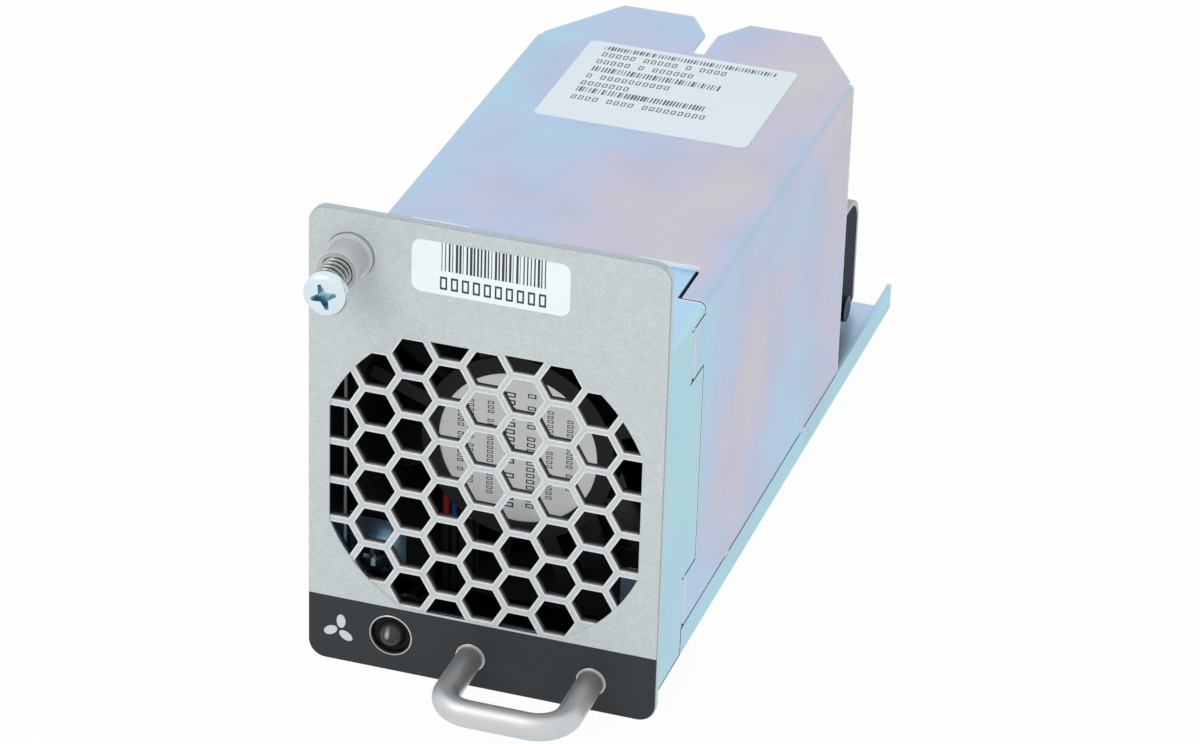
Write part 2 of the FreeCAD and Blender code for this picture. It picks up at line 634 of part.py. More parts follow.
def make_cover():
    outer, inner = sleeve_half_width, sleeve_inner
    skirt = inner - d.sheet
    hem = lip_top + d.lip_groove
    foot = floor_top + d.bend + d.joint_gap
    crown = d.bend + d.sheet
    right = [(skirt, foot), (inner, foot), (inner, hem), (outer, hem), (outer, sleeve_top, crown)]
    left = [(-outer, sleeve_top, crown), (-outer, hem), (-inner, hem), (-inner, foot), (-skirt, foot)]
    under = [(-skirt, hem + d.sheet), (-inner, hem + d.sheet), (-inner, sleeve_ceiling, d.bend),
             (inner, sleeve_ceiling, d.bend), (inner, hem + d.sheet), (skirt, hem + d.sheet)]
    tab_front = ear_back + d.joint_gap
    channel = plate("cover_channel", "XZ_Plane", (tab_front, d.cover_rear), right + left + under)

    wide = outer + d.overrun
    side_front = d.bracket_reach + d.seam
    top_front = d.bracket_top_reach + d.seam
    ahead = tab_front - d.overrun
    cuts = [box("cover_top_cut", (-wide, wide), (ahead, top_front),
                (upper_ear[1], sleeve_top + d.overrun))]
    for side, x in sides(skirt - d.overrun, wide):
        cuts.append(box(f"cover_side_cut_{side}", x, (ahead, side_front),
                        (lower_ear[1], upper_ear[0])))
    for side, x in sides(d.cover_notch_near, d.cover_notch_far):
        outline = rectangle(x, (ahead, d.cover_notch_end), d.cover_notch_corner)
        cuts.append(plate(f"cover_notch_{side}", "XY_Plane",
                          (sleeve_ceiling - d.overrun, sleeve_top + d.overrun), outline))
    pieces = [carve("cover_sleeve", channel, cuts)]

    shoulder = outer - crown
    slope = (d.lobe_rear - d.lobe_shoulder) / (outer - d.lobe_outer)
    bend_y = d.lobe_shoulder + slope * crown
    root = d.cover_rear - d.sheet
    half = [(shoulder, root), (shoulder, bend_y), (d.lobe_outer, d.lobe_rear), (d.lobe_inner, d.lobe_rear),
            (d.slot_half_width, d.slot_mouth), (d.slot_half_width, d.slot_bottom)]
    mirrored = [(-x, y) for x, y in reversed(half)]
    pieces.append(plate("cover_lobes", "XY_Plane", (sleeve_ceiling, sleeve_top), half + mirrored))
    for place_name, y in (("front", d.front_tooth_y), ("rear", d.rear_tooth_y)):
        for side, x in sides(inner, outer):
            pieces.append(box(f"cover_tooth_{place_name}_{side}", x,
                              (y - d.tooth_half_width, y + d.tooth_half_width), (hem - d.tooth_depth, hem)))
    node("sleeve_cover", join("sleeve_cover", pieces))


def make_base():
    outer, inner = sleeve_half_width, sleeve_inner
    crown = d.bend + d.sheet
    channel = plate("base_channel", "XZ_Plane", (plate_back, d.base_rear), [
        (outer, d.base_bottom, crown), (outer, lip_top), (inner, lip_top), (inner, floor_top, d.bend),
        (-inner, floor_top, d.bend), (-inner, lip_top), (-outer, lip_top), (-outer, d.base_bottom, crown)])
    cuts = []
    ahead = plate_back - d.overrun
    through = (d.base_bottom - d.overrun, floor_top + d.overrun)
    notch_floor = lip_top + d.lip_groove - d.tooth_depth - d.joint_gap
    for side, x in sides(inner - d.bend, outer + d.overrun):
        cuts.append(box(f"base_lip_cut_{side}", x, (ahead, d.lip_front), (floor_top, lip_top + d.overrun)))
        for place_name, y in (("front", d.front_tooth_y), ("rear", d.rear_tooth_y)):
            reach = d.tooth_half_width + d.joint_gap
            cuts.append(box(f"base_notch_{place_name}_{side}", x, (y - reach, y + reach),
                            (notch_floor, lip_top + d.overrun)))
    for k, x in enumerate(handle_legs):
        cuts.append(box(f"base_screw_notch_{k}", (x - d.screw_notch, x + d.screw_notch),
                        (ahead, plate_back + d.screw_head_height + d.overrun), through))
    reach = d.light_flange + d.joint_gap
    cuts.append(box("base_light_notch", (d.light_x - reach, d.light_x + reach),
                    (ahead, light_back + 2 * d.light_rim), through))
    node("base_tray", carve("base_tray", channel, cuts))


def make_fan(name, front):
    """One axial fan; every place along Y is measured from the fan's front face."""
    rear = front + d.fan_depth
    half = fan_half
    outline = rectangle((-half, half), (fan_z - half, fan_z + half), d.fan_corner)
    shells = [plate(name + "_flange_front", "XZ_Plane", (front, front + d.fan_flange), outline),
              plate(name + "_flange_rear", "XZ_Plane", (rear - d.fan_flange, rear), outline),
              rod(name + "_barrel", 0, (front + d.fan_flange / 2, rear - d.fan_flange / 2), fan_z, half)]
    through = (front - d.overrun, rear + d.overrun)
    cuts = [rod(name + "_bore", 0, through, fan_z, fan_bore)]
    for end, y, small, large in (("front", front, bell_radius, fan_bore),
                                 ("rear", rear - d.bell_depth, fan_bore, bell_radius)):
        bell = place(doc.addObject("Part::Cone", f"{name}_bell_{end}"), 0, y, fan_z, ALONG_Y)
        bind(bell, "Radius1", small)
        bind(bell, "Radius2", large)
        bind(bell, "Height", d.bell_depth)
        cuts.append(bell)
    cuts += [rod(f"{name}_bolt_hole_{k}", x, through, z, d.bolt + d.bolt_clearance)
             for k, (x, z) in enumerate(bolt_places)]

    face, seat = d.hub_face, d.hub_label_seat
    back = seat + d.hub_wall
    hub = turned(name + "_hub", 0, front, fan_z, [
        (d.tube_outer, seat), (d.hub_label, seat), (d.hub_label, face), (d.hub_radius, face),
        (d.hub_radius, d.hub_skirt), (d.motor_board + d.hub_wall / 2, d.hub_skirt),
        (d.motor_board + d.hub_wall / 2, back), (d.tube_outer, back)])
    reach = (d.hub_radius - d.hub_wall / 4, fan_bore + d.overrun)
    struts = [spoke(f"{name}_strut_{angle}", (0, fan_z), angle, reach, d.strut_width / 2,
                    (front + d.strut_front, front + d.strut_rear)) for angle in STRUT_ANGLES]
    lead_half = 2 * d.wire_pitch + d.lead_play
    lead_sides = (d.lead_x - lead_half, d.lead_x + lead_half)
    groove_back = d.motor_board_y + d.lead_gap
    struts.append(box(name + "_lead_strut", lead_sides, (front + groove_back, front + d.strut_rear),
                      (fan_z - fan_bore - d.overrun, fan_z - d.lead_strut_top)))
    slot = box(name + "_lead_slot", lead_sides, (front + back, front + groove_back),
               (fan_z - d.hub_radius - d.overrun, fan_z - d.lead_start + d.wire + d.lead_play))
    cuts.append(box(name + "_lead_notch", lead_sides, (front - d.overrun, front + groove_back),
                    (fan_z - half - d.overrun, fan_z - fan_bore + d.fan_flange)))
    node(name + "_frame", carve(name + "_frame", join(name + "_frame_blank", shells), cuts))
    arms = common(name + "_arms", join(name + "_struts", struts),
                  rod(name + "_arms_limit", 0, through, fan_z, fan_bore))
    node(name + "_spider", join(name + "_spider", [carve(name + "_hub_open", hub, [slot]), arms]))

    label = rod(name + "_hub_label", 0, (front + seat - d.label_film, front + seat), fan_z, d.hub_label)
    node(name + "_hub_label", label)
    make_motor(name, front)
    make_rotor(name, front)


def make_motor(name, front):
    """The parts of the motor that stand still."""
    node(name + "_bearing_tube", ring(name + "_bearing_tube", 0, front, fan_z, (d.tube_bore, d.tube_outer),
                                      (d.hub_label_seat, d.tube_end)))
    bearings = [ring(f"{name}_bearing_{end}", 0, front, fan_z, (d.bearing_bore, d.tube_bore),
                     (y, y + d.bearing_length))
                for end, y in (("front", d.front_bearing_y), ("rear", d.rear_bearing_y))]
    node(name + "_bearings", join(name + "_bearings", bearings))
    node(name + "_motor_board", ring(name + "_motor_board", 0, front, fan_z,
                                     (d.tube_outer + d.joint_gap, d.motor_board),
                                     (d.motor_board_y, d.motor_board_y + d.motor_board_height)))
    core = (d.core_front, d.core_rear)
    span = (front + core[0], front + core[1])
    quarter = (0, 90, 180, 270)
    rims = ring(name + "_core_rim", 0, front, fan_z, (d.core_radius - d.core_shoe, d.core_radius), core)
    pads = [spoke(f"{name}_core_pad_{angle}", (0, fan_z), angle, (d.core_ring, d.core_radius + d.overrun),
                  d.shoe_half_width, span) for angle in quarter]
    shoes = common(name + "_core_shoes", rims, join(name + "_core_pads", pads))
    arms = [spoke(f"{name}_core_arm_{angle}", (0, fan_z), angle,
                  (d.tube_outer + d.core_shoe, d.core_radius - d.core_shoe / 2), d.arm_half_width, span)
            for angle in quarter]
    middle = ring(name + "_core_ring", 0, front, fan_z, (d.tube_outer, d.core_ring), core)
    node(name + "_stator_core", join(name + "_stator_core", [middle, shoes, *arms]))
    ends = (span[0] - d.coil_overhang, span[1] + d.coil_overhang)
    coils = []
    for angle in quarter:
        winding = spoke(f"{name}_coil_block_{angle}", (0, fan_z), angle, (d.coil_inner, d.coil_outer),
                        d.coil_half_width, ends)
        hole = spoke(f"{name}_coil_hole_{angle}", (0, fan_z), angle,
                     (d.coil_inner - d.overrun, d.coil_outer + d.overrun), d.arm_half_width, span)
        coils.append(carve(f"{name}_coil_{angle}", winding, [hole]))
    node(name + "_coils", join(name + "_coils", coils))


def make_rotor(name, front):
    """The parts of the motor that turn together on the shaft."""
    groove = (d.clip_y, d.clip_y + d.clip_height)
    node(name + "_shaft", turned(name + "_shaft", 0, front, fan_z, [
        (0, d.shaft_tip), (d.shaft, d.shaft_tip), (d.shaft, groove[0]), (d.clip_groove, groove[0]),
        (d.clip_groove, groove[1]), (d.shaft, groove[1]), (d.shaft, d.yoke_rear), (0, d.yoke_rear)]))
    play = d.clip_play
    node(name + "_shaft_clip", ring(name + "_shaft_clip", 0, front, fan_z,
                                    (d.clip_groove + play, d.clip_radius),
                                    (groove[0] + play, groove[1] - play)))
    inside = d.yoke_rear - d.yoke_wall
    node(name + "_rotor_yoke", turned(name + "_rotor_yoke", 0, front, fan_z, [
        (d.magnet_outer, d.yoke_front), (d.yoke_outer, d.yoke_front), (d.yoke_outer, d.yoke_rear),
        (d.shaft, d.yoke_rear), (d.shaft, d.bush_front), (d.bush_radius, d.bush_front),
        (d.bush_radius, inside), (d.magnet_outer, inside)]))
    node(name + "_magnet", ring(name + "_magnet", 0, front, fan_z, (d.magnet_inner, d.magnet_outer),
                                (d.magnet_front, d.magnet_rear)))
    node(name + "_cup", turned(name + "_cup", 0, front, fan_z, [
        (d.yoke_outer, d.cup_front), (d.cup_outer, d.cup_front), (d.cup_outer, d.cup_rear), (0, d.cup_rear),
        (0, d.yoke_rear), (d.yoke_outer, d.yoke_rear)]))
    span = (front, front + d.fan_depth)
    swept = common(name + "_blade_blanks", feature(name + "_blade_lofts", impeller_blades(front)),
                   rod(name + "_blade_reach", 0, span, fan_z, blade_tip))
    node(name + "_blades", carve(name + "_blades", swept, [
        rod(name + "_blade_root", 0, span, fan_z, d.cup_outer)]))


def impeller_blades(front):
    """Curved blades lofted from the cup to past the tip circle."""
    root = blade_section(front, (d.cup_outer + d.yoke_outer) / 2, d.blade_root_sweep)
    tip = blade_section(front, blade_tip + d.overrun, d.blade_sweep)
    blade = Part.makeLoft([root, tip], True, True)
    centre = FreeCAD.Vector(0, 0, number(fan_z))
    copies = []
    for k in range(BLADES):
        turned_blade = blade.copy()
        turned_blade.rotate(centre, FreeCAD.Vector(0, 1, 0), 360 * k / BLADES)
        copies.append(turned_blade)
    return Part.makeCompound(copies)


def blade_section(front, radius, sweep):
    """The closed outline of a blade at one radius, square to that radius."""
    low, high = front + d.blade_front, front + d.blade_rear
    middle = (low + high) / 2
    half = d.blade_thickness / 2
    z = fan_z + radius
    outer = [(-sweep + half / 2, low, z), (d.blade_camber + half, middle, z), (sweep + half / 2, high, z)]
    inner = [(sweep - half / 2, high, z), (d.blade_camber - half, middle, z), (-sweep - half / 2, low, z)]
    curves = [Part.Arc(*(vector(point) for point in face)) for face in (outer, inner)]
    caps = [Part.LineSegment(vector(start[2]), vector(end[0]))
            for start, end in ((outer, inner), (inner, outer))]
    return Part.Wire([edge.toShape() for edge in (curves[0], caps[0], curves[1], caps[1])])


def make_fan_bolts():
    head_front = ear_front - d.bolt_head_height
    nut_back = stack_back + d.nut_height
    bolts, nuts = [], []
    for k, (x, z) in enumerate(bolt_places):
        blank = turned(f"fan_bolt_{k}", x, 0, z, [
            (0, head_front), (d.bolt_head, head_front), (d.bolt_head, ear_front), (d.bolt, ear_front),
            (d.bolt, nut_back + d.bolt_end), (0, nut_back + d.bolt_end)])
        recess = cross_recess(f"fan_bolt_{k}", (x, z),
                              (head_front - d.overrun, head_front + d.bolt_head_height / 2), d.bolt_head / 2)
        bolts.append(carve(f"fan_bolt_{k}_cut", blank, recess))
        prism = place(doc.addObject("Part::Prism", f"fan_nut_blank_{k}"), x, stack_back, z, ALONG_Y)
        bind(prism, "Circumradius", d.nut_across / math.sqrt(3))
        bind(prism, "Height", d.nut_height)
        thread = rod(f"fan_nut_thread_{k}", x, (stack_back - d.overrun, nut_back + d.overrun), z, d.bolt)
        nuts.append(carve(f"fan_nut_{k}", prism, [thread]))
    node("fan_bolts", join("fan_bolts", bolts))
    node("fan_nuts", join("fan_nuts", nuts))


def lead_wire(first, x, rise_y, layer_z, plug_y, plug_z):
    """One wire: its first stretch, along the floor, up to its plug's height and across into the plug."""
    plug_face = d.board_x - d.header_height - d.plug_length
    last = ((x, rise_y, layer_z), (x, rise_y + d.rise_length, plug_z), (x, plug_y, plug_z),
            (plug_face, plug_y, plug_z))
    return cable([vector(point) for point in (*first, *last)], number(d.wire), number(d.wire_bend))


def make_fan_leads(name, front, layer_z, rise_y, plug_y, plug_z):
    """Four wires from the motor board, out of the hub's side, down, under the fans and up to the plug."""
    wires = []
    for k in (-1.5, -0.5, 0.5, 1.5):
        x = d.lead_x + k * d.wire_pitch
        y = plug_y - k * d.wire_pitch
        face = front + d.motor_board_y - d.wire
        first = ((x, face, fan_z - d.lead_start), (x, face, layer_z))
        wires.append(lead_wire(first, x, rise_y, layer_z, y, plug_z))
    node(name + "_leads", feature(name + "_leads", Part.makeCompound(wires)))
    make_plug(name + "_plug", plug_y, plug_z, 2 * d.wire_pitch)


def make_plug(name, y, z, half_row):
    face = d.board_x - d.header_height
    reach = half_row + d.plug_margin
    node(name, box(name, (face - d.plug_length, face), (y - reach, y + reach),
                   (z - d.plug_half_height, z + d.plug_half_height)))


def make_light_leads(layer_z):
    """Two wires from the status light, along the floor and up to their plug."""
    wires = []
    for k in (-0.5, 0.5):
        x = d.light_x + k * d.light_lead_pitch
        y = d.light_plug_y - k * d.wire_pitch
        start = light_back + d.light_rim
        level = start + d.light_lead_run
        first = ((x, start, d.light_z), (x, level, d.light_z), (x, level + d.light_lead_dip, layer_z))
        wires.append(lead_wire(first, x, d.light_rise_y, layer_z, y, d.light_plug_z))
    node("light_leads", feature("light_leads", Part.makeCompound(wires)))
    make_plug("light_plug", d.light_plug_y, d.light_plug_z, d.wire_pitch)


def make_board():
    back = d.board_x + d.board_thickness
    screw_ys = (d.board_flange_front + d.board_screw_setback, d.board_flange_rear - d.board_screw_setback)
    small = d.board_corner / 6
    blank = plate("board_blank", "YZ_Plane", (d.board_x, back), [
        (d.board_front, d.board_bottom, small), (d.board_rear, d.board_bottom, small),
        (d.board_rear, d.board_top, d.board_corner), (d.board_front, d.board_top, small)])
    holes = [cross_rod(f"board_hole_{k}", (d.board_x - d.overrun, back + d.overrun), y, d.board_screw_z,
                       d.board_screw + d.joint_gap) for k, y in enumerate(screw_ys)]
    node("connector_board", carve("connector_board", blank, holes))

    tip = d.board_rear - d.finger_setback
    fingers = [box(f"finger_{k}", (d.board_x - d.finger_film, d.board_x), (tip - d.finger_length, tip),
                   (d.finger_low + k * d.finger_pitch, d.finger_low + k * d.finger_pitch + d.finger_width))
               for k in range(FINGERS)]
    node("contact_fingers", join("contact_fingers", fingers))

    headers = [box(f"header_{name}", (d.board_x - d.header_height, d.board_x),
                   (y - half_row - d.plug_margin, y + half_row + d.plug_margin),
                   (z - d.plug_half_height, z + d.plug_half_height))
               for name, y, z, half_row in (
                   ("rear", d.rear_plug_y, d.rear_plug_z, 2 * d.wire_pitch),
                   ("front", d.front_plug_y, d.front_plug_z, 2 * d.wire_pitch),
                   ("light", d.light_plug_y, d.light_plug_z, d.wire_pitch))]
    node("board_headers", join("board_headers", headers))

    wall = d.board_x - d.sheet
    bracket = plate("board_bracket_blank", "XZ_Plane", (d.board_flange_front, d.board_flange_rear), [
        (d.board_x, floor_top, d.bend + d.sheet), (d.board_x, d.board_flange_top),
        (wall, d.board_flange_top), (wall, floor_top + d.sheet, d.bend),
        (wall - d.board_flange_width, floor_top + d.sheet), (wall - d.board_flange_width, floor_top)])
    through = (wall - d.overrun, d.board_x + d.overrun)
    holes = [cross_rod(f"board_bracket_hole_{k}", through, y, d.board_screw_z, d.board_screw)
             for k, y in enumerate(screw_ys)]
    node("board_bracket", carve("board_bracket", bracket, holes))

    screws = []
    for k, y in enumerate(screw_ys):
        shank = cross_rod(f"board_screw_shank_{k}", (wall - d.board_screw_end, back), y, d.board_screw_z,
                          d.board_screw)
        head = cross_rod(f"board_screw_head_{k}", (back, back + d.screw_head_height), y, d.board_screw_z,
                         d.board_screw_head)
        screws.append(join(f"board_screw_{k}", [shank, head]))
    node("board_screws", join("board_screws", screws))


def make_wiring():
    low = floor_top + d.wire + d.lead_gap
    make_fan_leads("front_fan", d.fan_front, low, d.front_rise_y, d.front_plug_y, d.front_plug_z)
    make_fan_leads("rear_fan", d.fan_front + d.fan_depth, low + d.lead_layer, d.rear_rise_y, d.rear_plug_y,
                   d.rear_plug_z)
    make_light_leads(low)


def write_nodes():
    """Move every node to the module's own origin, check the document and write one file per node."""
    for item in nodes:
        bind(item, "Placement.Base.y", places.get(item.Name, 0) - origin_y)
    doc.recompute()
    failed = [item.Name for item in doc.Objects if {"Invalid", "Error"} & set(item.State)]
    if failed:
        raise RuntimeError(f"these objects failed: {failed}")
    for item in nodes:
        if item.Shape.isNull() or not item.Shape.isValid() or not item.Shape.Solids:
            raise RuntimeError(f"{item.Label} has no valid solid")
    os.makedirs("parts", exist_ok=True)
    for item in nodes:
        item.Shape.exportStep(f"parts/{item.Label}.step")


make_panel()
make_labels()
make_light()
make_handle()
make_captive_screw()
make_bracket()
make_cover()
make_base()
make_fan("front_fan", d.fan_front)
make_fan("rear_fan", d.fan_front + d.fan_depth)
make_fan_bolts()
make_board()
make_wiring()
write_nodes()
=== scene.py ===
"""Looks of a plug-in fan module: finishes for its solids, small printed and turned pieces, and a plain studio.

Lengths are in metres. X runs to the right, Y runs into the bay and Z runs up, seen from the front panel.
"""
import json
import math

import bmesh
import bpy
from bpy.props import FloatProperty, FloatVectorProperty, PointerProperty
from mathutils import Matrix, Vector


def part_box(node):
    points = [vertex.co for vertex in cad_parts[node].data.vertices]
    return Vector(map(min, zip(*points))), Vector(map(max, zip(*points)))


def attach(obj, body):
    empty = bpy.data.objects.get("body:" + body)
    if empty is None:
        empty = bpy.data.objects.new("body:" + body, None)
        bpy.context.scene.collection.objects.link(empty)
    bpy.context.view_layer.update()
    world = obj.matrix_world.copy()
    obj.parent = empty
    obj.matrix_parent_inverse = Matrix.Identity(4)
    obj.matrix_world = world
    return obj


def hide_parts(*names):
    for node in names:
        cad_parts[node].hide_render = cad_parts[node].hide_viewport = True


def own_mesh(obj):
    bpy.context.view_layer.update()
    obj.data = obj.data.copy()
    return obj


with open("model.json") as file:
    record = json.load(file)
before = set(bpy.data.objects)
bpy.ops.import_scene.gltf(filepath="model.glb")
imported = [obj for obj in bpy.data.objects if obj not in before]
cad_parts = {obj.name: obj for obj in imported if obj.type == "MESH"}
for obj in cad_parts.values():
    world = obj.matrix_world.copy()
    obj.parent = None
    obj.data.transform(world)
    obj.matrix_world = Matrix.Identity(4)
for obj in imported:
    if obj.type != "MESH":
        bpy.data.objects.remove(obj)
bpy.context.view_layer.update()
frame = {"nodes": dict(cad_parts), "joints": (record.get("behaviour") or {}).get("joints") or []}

bl_info = {
    "name": "Fan Module Looks",
    "version": (1, 0, 0),
    "blender": (4, 5, 0),
    "location": "3D View > Sidebar > Fan Module",
    "description": "Finishes and fine pieces for a plug-in fan module, and a plain studio to show it in",
    "category": "Object",
}

MM = 0.001
ROUND = 2 * math.pi
WELD = 0.001 * MM  # verts nearer than this are merged
CREASE = math.radians(32)  # edges bent further than this stay sharp
EDGE_SAMPLES = 6  # rays for softened edges
SQUARE_ON = 0.7  # above this a face looks along an axis
FILM_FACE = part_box("panel_overlay")[0].y

# Places along Y on the sheet metal
TONGUE_END, BRACKET_END = -28 * MM, -45 * MM
LIP_START, FOOT_END = -51 * MM, -52 * MM
# Strip along Y where a glint is painted on the side walls inside the front
INNER_GLINT_STRIP = -54.7 * MM, -53.3 * MM
# Spans along Y where the cut ends lie in a seam and are painted shade
SLEEVE_SHADED_ENDS, TRAY_SHADED_ENDS = (-48 * MM, -43 * MM), (-53 * MM, -50 * MM)

# Depths below the sleeve's top, and inwards from its side
LIT_TOP_DEPTH, INNER_DEPTH, SEAM_DEPTH, TONGUE_DEPTH = 0.95 * MM, 0.9 * MM, 1.0 * MM, 1.7 * MM
WALL_DEPTH, TONGUE_INSET, LIP_DEPTH, BEND_FADE = 0.6 * MM, 2 * MM, 1.2 * MM, 0.25 * MM

# Middle and half sizes of the grille, radii round the status light, and the middle of the band's mark
GRILLE_Z, GRILLE_HALF_WIDTH, GRILLE_HALF_HEIGHT = 39.45 * MM, 29 * MM, 27.5 * MM
LAMP_HOLE, BEZEL_THROAT = 3.62 * MM, 3.72 * MM
ICON_X, ICON_Z = -25.9 * MM, 6.4 * MM

# Thickness of the solder mask's skin, the place of the highlight painted on the lens, and the thread below and
# above the shank
MASK_DEPTH = 0.12 * MM
LENS_HIGHLIGHT_SHIFT = Vector((-0.2 * MM, 0, 0.8 * MM))
THREAD_ROOT, THREAD_CREST = -0.1 * MM, 0.5 * MM

# Camera and floor
SENSOR_WIDTH, NEAREST, FLOOR_REACH = 36.0, 0.01, 4.0


def middle(node):
    low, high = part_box(node)
    return (low + high) / 2


def fan_parts(*parts):
    """The names of like parts of both fans."""
    return [fan + part for fan in ("front_fan_", "rear_fan_") for part in parts]


def tint(name, about, default):
    return FloatVectorProperty(name=name, description=about, default=default, subtype="COLOR", size=3,
                               min=0, max=1)


def length(name, about, millimetres):
    return FloatProperty(name=name, description=about, default=millimetres * MM, unit="LENGTH")


def angle(name, about, degrees):
    return FloatProperty(name=name, description=about, default=math.radians(degrees), subtype="ANGLE")


def power(name, about, watts):
    return FloatProperty(name=name, description=about, default=watts, min=0, unit="POWER")


class FanModuleTints(bpy.types.PropertyGroup):
    """Colours of the finishes."""

    zinc_green: tint("Zinc green", "Thinnest plating", (0.45, 0.69, 0.70))
    zinc_cyan: tint("Zinc cyan", "Plating near bends and cut edges", (0.395, 0.672, 0.772))
    zinc_blue: tint("Zinc blue", "Plating round the clouds", (0.44, 0.615, 0.79))
    zinc_violet: tint("Zinc violet", "Plating of middling thickness", (0.485, 0.565, 0.745))
    zinc_rose: tint("Zinc rose", "Thicker plating in the clouds", (0.575, 0.55, 0.665))
    zinc_straw: tint("Zinc straw", "Thickest plating in the clouds", (0.59, 0.58, 0.60))
    zinc_dusk: tint("Zinc dusk", "Duller patches of the plating", (0.41, 0.48, 0.62))
    # Painted sheen: a teal tint along the sleeve's bend, where the bend catches the light
    zinc_bend_sheen: tint("Zinc fold", "Plating drawn thin along a bend", (0.42, 0.57, 0.68))
    # Painted highlight on the sheet's rims and in the glint strip, also the colour of bare cut ends
    zinc_edge_highlight: tint("Zinc edge", "Bright rims and rubbed strips of the sheet", (0.88, 0.95, 0.98))
    # Painted sheen: a pale tint along the bends of the bracket and the tray
    pale_bend_sheen: tint("Zinc mist", "Pale plating along the bracket's bends", (0.50, 0.73, 0.77))
    # Painted light: a lighter sky blue on the bracket's lit top
    zinc_lit_top: tint("Zinc sky", "Plating of the bracket's top", (0.46, 0.68, 0.91))
    zinc_seam: tint("Zinc seam", "Shade of the seam along the tray's lips", (0.58, 0.68, 0.80))
    # Painted shade on the edges of the bracket's tongues, seen in the sleeve's notches
    tongue_edge_shade: tint("Zinc gloom", "Edges of the bracket's tongues", (0.22, 0.27, 0.48))
    # Painted shade: dark walls inside the front
    inner_wall_shade: tint("Zinc inside", "Dull walls inside the front", (0.06, 0.08, 0.11))
    # Plain blue for the plates inside the front, set for how they look in the shade there
    inner_plate_blue: tint("Zinc plate", "Dull plates inside the front", (0.46, 0.70, 0.86))
    # Painted shade deep in seams
    zinc_painted_shade: tint("Zinc shadow", "Plating deep in seams", (0.010, 0.014, 0.022))
    bright_zinc: tint("Bright zinc", "Plating of the screws and nuts", (0.72, 0.84, 0.89))
    satin_steel: tint("Satin steel", "Rings, shafts and bearings", (0.66, 0.67, 0.68))
    # Spring wire, darker than the other steel as painted shade inside the ferrule's cup
    spring_steel: tint("Spring steel", "Captive spring's wire", (0.44, 0.45, 0.45))
    dull_steel: tint("Dull steel", "Pressed motor iron", (0.36, 0.37, 0.38))
    ferrule_grey: tint("Ferrule grey", "Captive screw's ferrule", (0.54, 0.56, 0.57))
    satin_aluminium: tint("Satin aluminium", "Bent rod of the handle", (0.63, 0.65, 0.66))
    bloom_blue: tint("Bloom blue", "Bluish bloom on the handle", (0.585, 0.635, 0.67))
    bloom_rose: tint("Bloom rose", "Rosy bloom on the handle", (0.645, 0.63, 0.645))
    bloom_straw: tint("Bloom straw", "Straw bloom on the handle", (0.67, 0.665, 0.62))
    screw_black: tint("Screw black", "Black plate of the board's screws", (0.045, 0.055, 0.070))
    # Painted shade on the walls of the driver recess
    recess_shade: tint("Recess blue", "Walls of the driver recess", (0.36, 0.54, 0.62))
    worn_bright: tint("Worn bright", "Worn rims of turned plate", (0.90, 0.91, 0.91))
    collar_bright: tint("Collar bright", "Collars round the handle's legs", (0.80, 0.81, 0.82))
    brass: tint("Brass", "Bearing tube", (0.66, 0.48, 0.22))
    copper: tint("Copper", "Enamelled winding wire", (0.50, 0.20, 0.09))
    gold: tint("Gold", "Contact fingers", (0.78, 0.56, 0.20))
    film_grey: tint("Film grey", "Printed film of the front panel", (0.575, 0.625, 0.635))
    band_charcoal: tint("Band charcoal", "Band along the film's foot", (0.030, 0.036, 0.040))
    panel_grey: tint("Panel grey", "Paint of the honeycomb", (0.565, 0.61, 0.625))
    panel_edge: tint("Panel edge", "Cut edge of the panel", (0.44, 0.51, 0.56))
    # Painted light: the panel's right-facing cut edge is tinted bluer than its other edges
    panel_flank_sheen: tint("Panel flank", "Panel's cut edge on the right", (0.50, 0.66, 0.71))
    # Painted highlight on the honeycomb's rims
    panel_rim_highlight: tint("Panel rim", "Worn rims of the honeycomb", (0.93, 0.96, 0.97))
    # Painted shade on the cells' walls, darkening to near-black towards the back
    cell_wall_shade: tint("Cell wall", "Cell walls near the front", (0.30, 0.285, 0.26))
    cell_depth_shade: tint("Cell depth", "Cell walls near the back", (0.030, 0.027, 0.024))
    # Label stocks tinted blue as a painted reflection of their surroundings
    front_label_sky_tinted: tint("Label front", "Stock of the front label", (0.85, 0.945, 0.975))
    top_label_sky_tinted: tint("Label top", "Stock of the top label", (0.79, 0.89, 0.97))
    label_white: tint("Label white", "Stock of the hub labels", (0.94, 0.96, 0.965))
    print_black: tint("Print black", "Bars printed on the labels", (0.022, 0.023, 0.026))
    print_hub: tint("Print hub", "Small boxes printed on the hub labels", (0.035, 0.035, 0.04))
    icon_white: tint("Icon white", "Mark printed on the band", (0.66, 0.68, 0.70))
    # Black of the moulded parts, also used as painted shade on the leads' lower run and round the status light
    black_plastic_and_shade: tint("Fan black", "Fan frames, the light's holder and the leads' sleeve", (0.012, 0.012, 0.013))
    blade_black: tint("Blade black", "Moulded blades and cups", (0.016, 0.016, 0.018))
    magnet_black: tint("Magnet black", "Bonded magnet rings", (0.030, 0.028, 0.027))
    lens_smoke: tint("Lens smoke", "Dark lens of the status light", (0.018, 0.020, 0.022))
    # Painted highlight on the status light's lens
    lens_painted_highlight: tint("Lens glint", "Pale lamp inside the status light", (0.34, 0.35, 0.37))
    mask_black: tint("Mask black", "Solder mask of the circuit boards", (0.008, 0.018, 0.034))
    # Pale cut edge of the boards, also painted as a highlight round their faces
    board_edge_and_highlight: tint("Board edge", "Cut edge of the circuit boards", (0.60, 0.64, 0.63))
    nylon: tint("Nylon", "Plugs and headers", (0.72, 0.69, 0.60))
    wire_red: tint("Wire red", "First lead", (0.34, 0.02, 0.02))
    wire_blue: tint("Wire blue", "Second lead", (0.01, 0.07, 0.30))
    wire_yellow: tint("Wire yellow", "Third lead", (0.30, 0.18, 0.02))
    wire_black: tint("Wire black", "Fourth lead", (0.015, 0.015, 0.015))
    floor: tint("Floor", "Pale studio floor", (0.90, 0.90, 0.90))


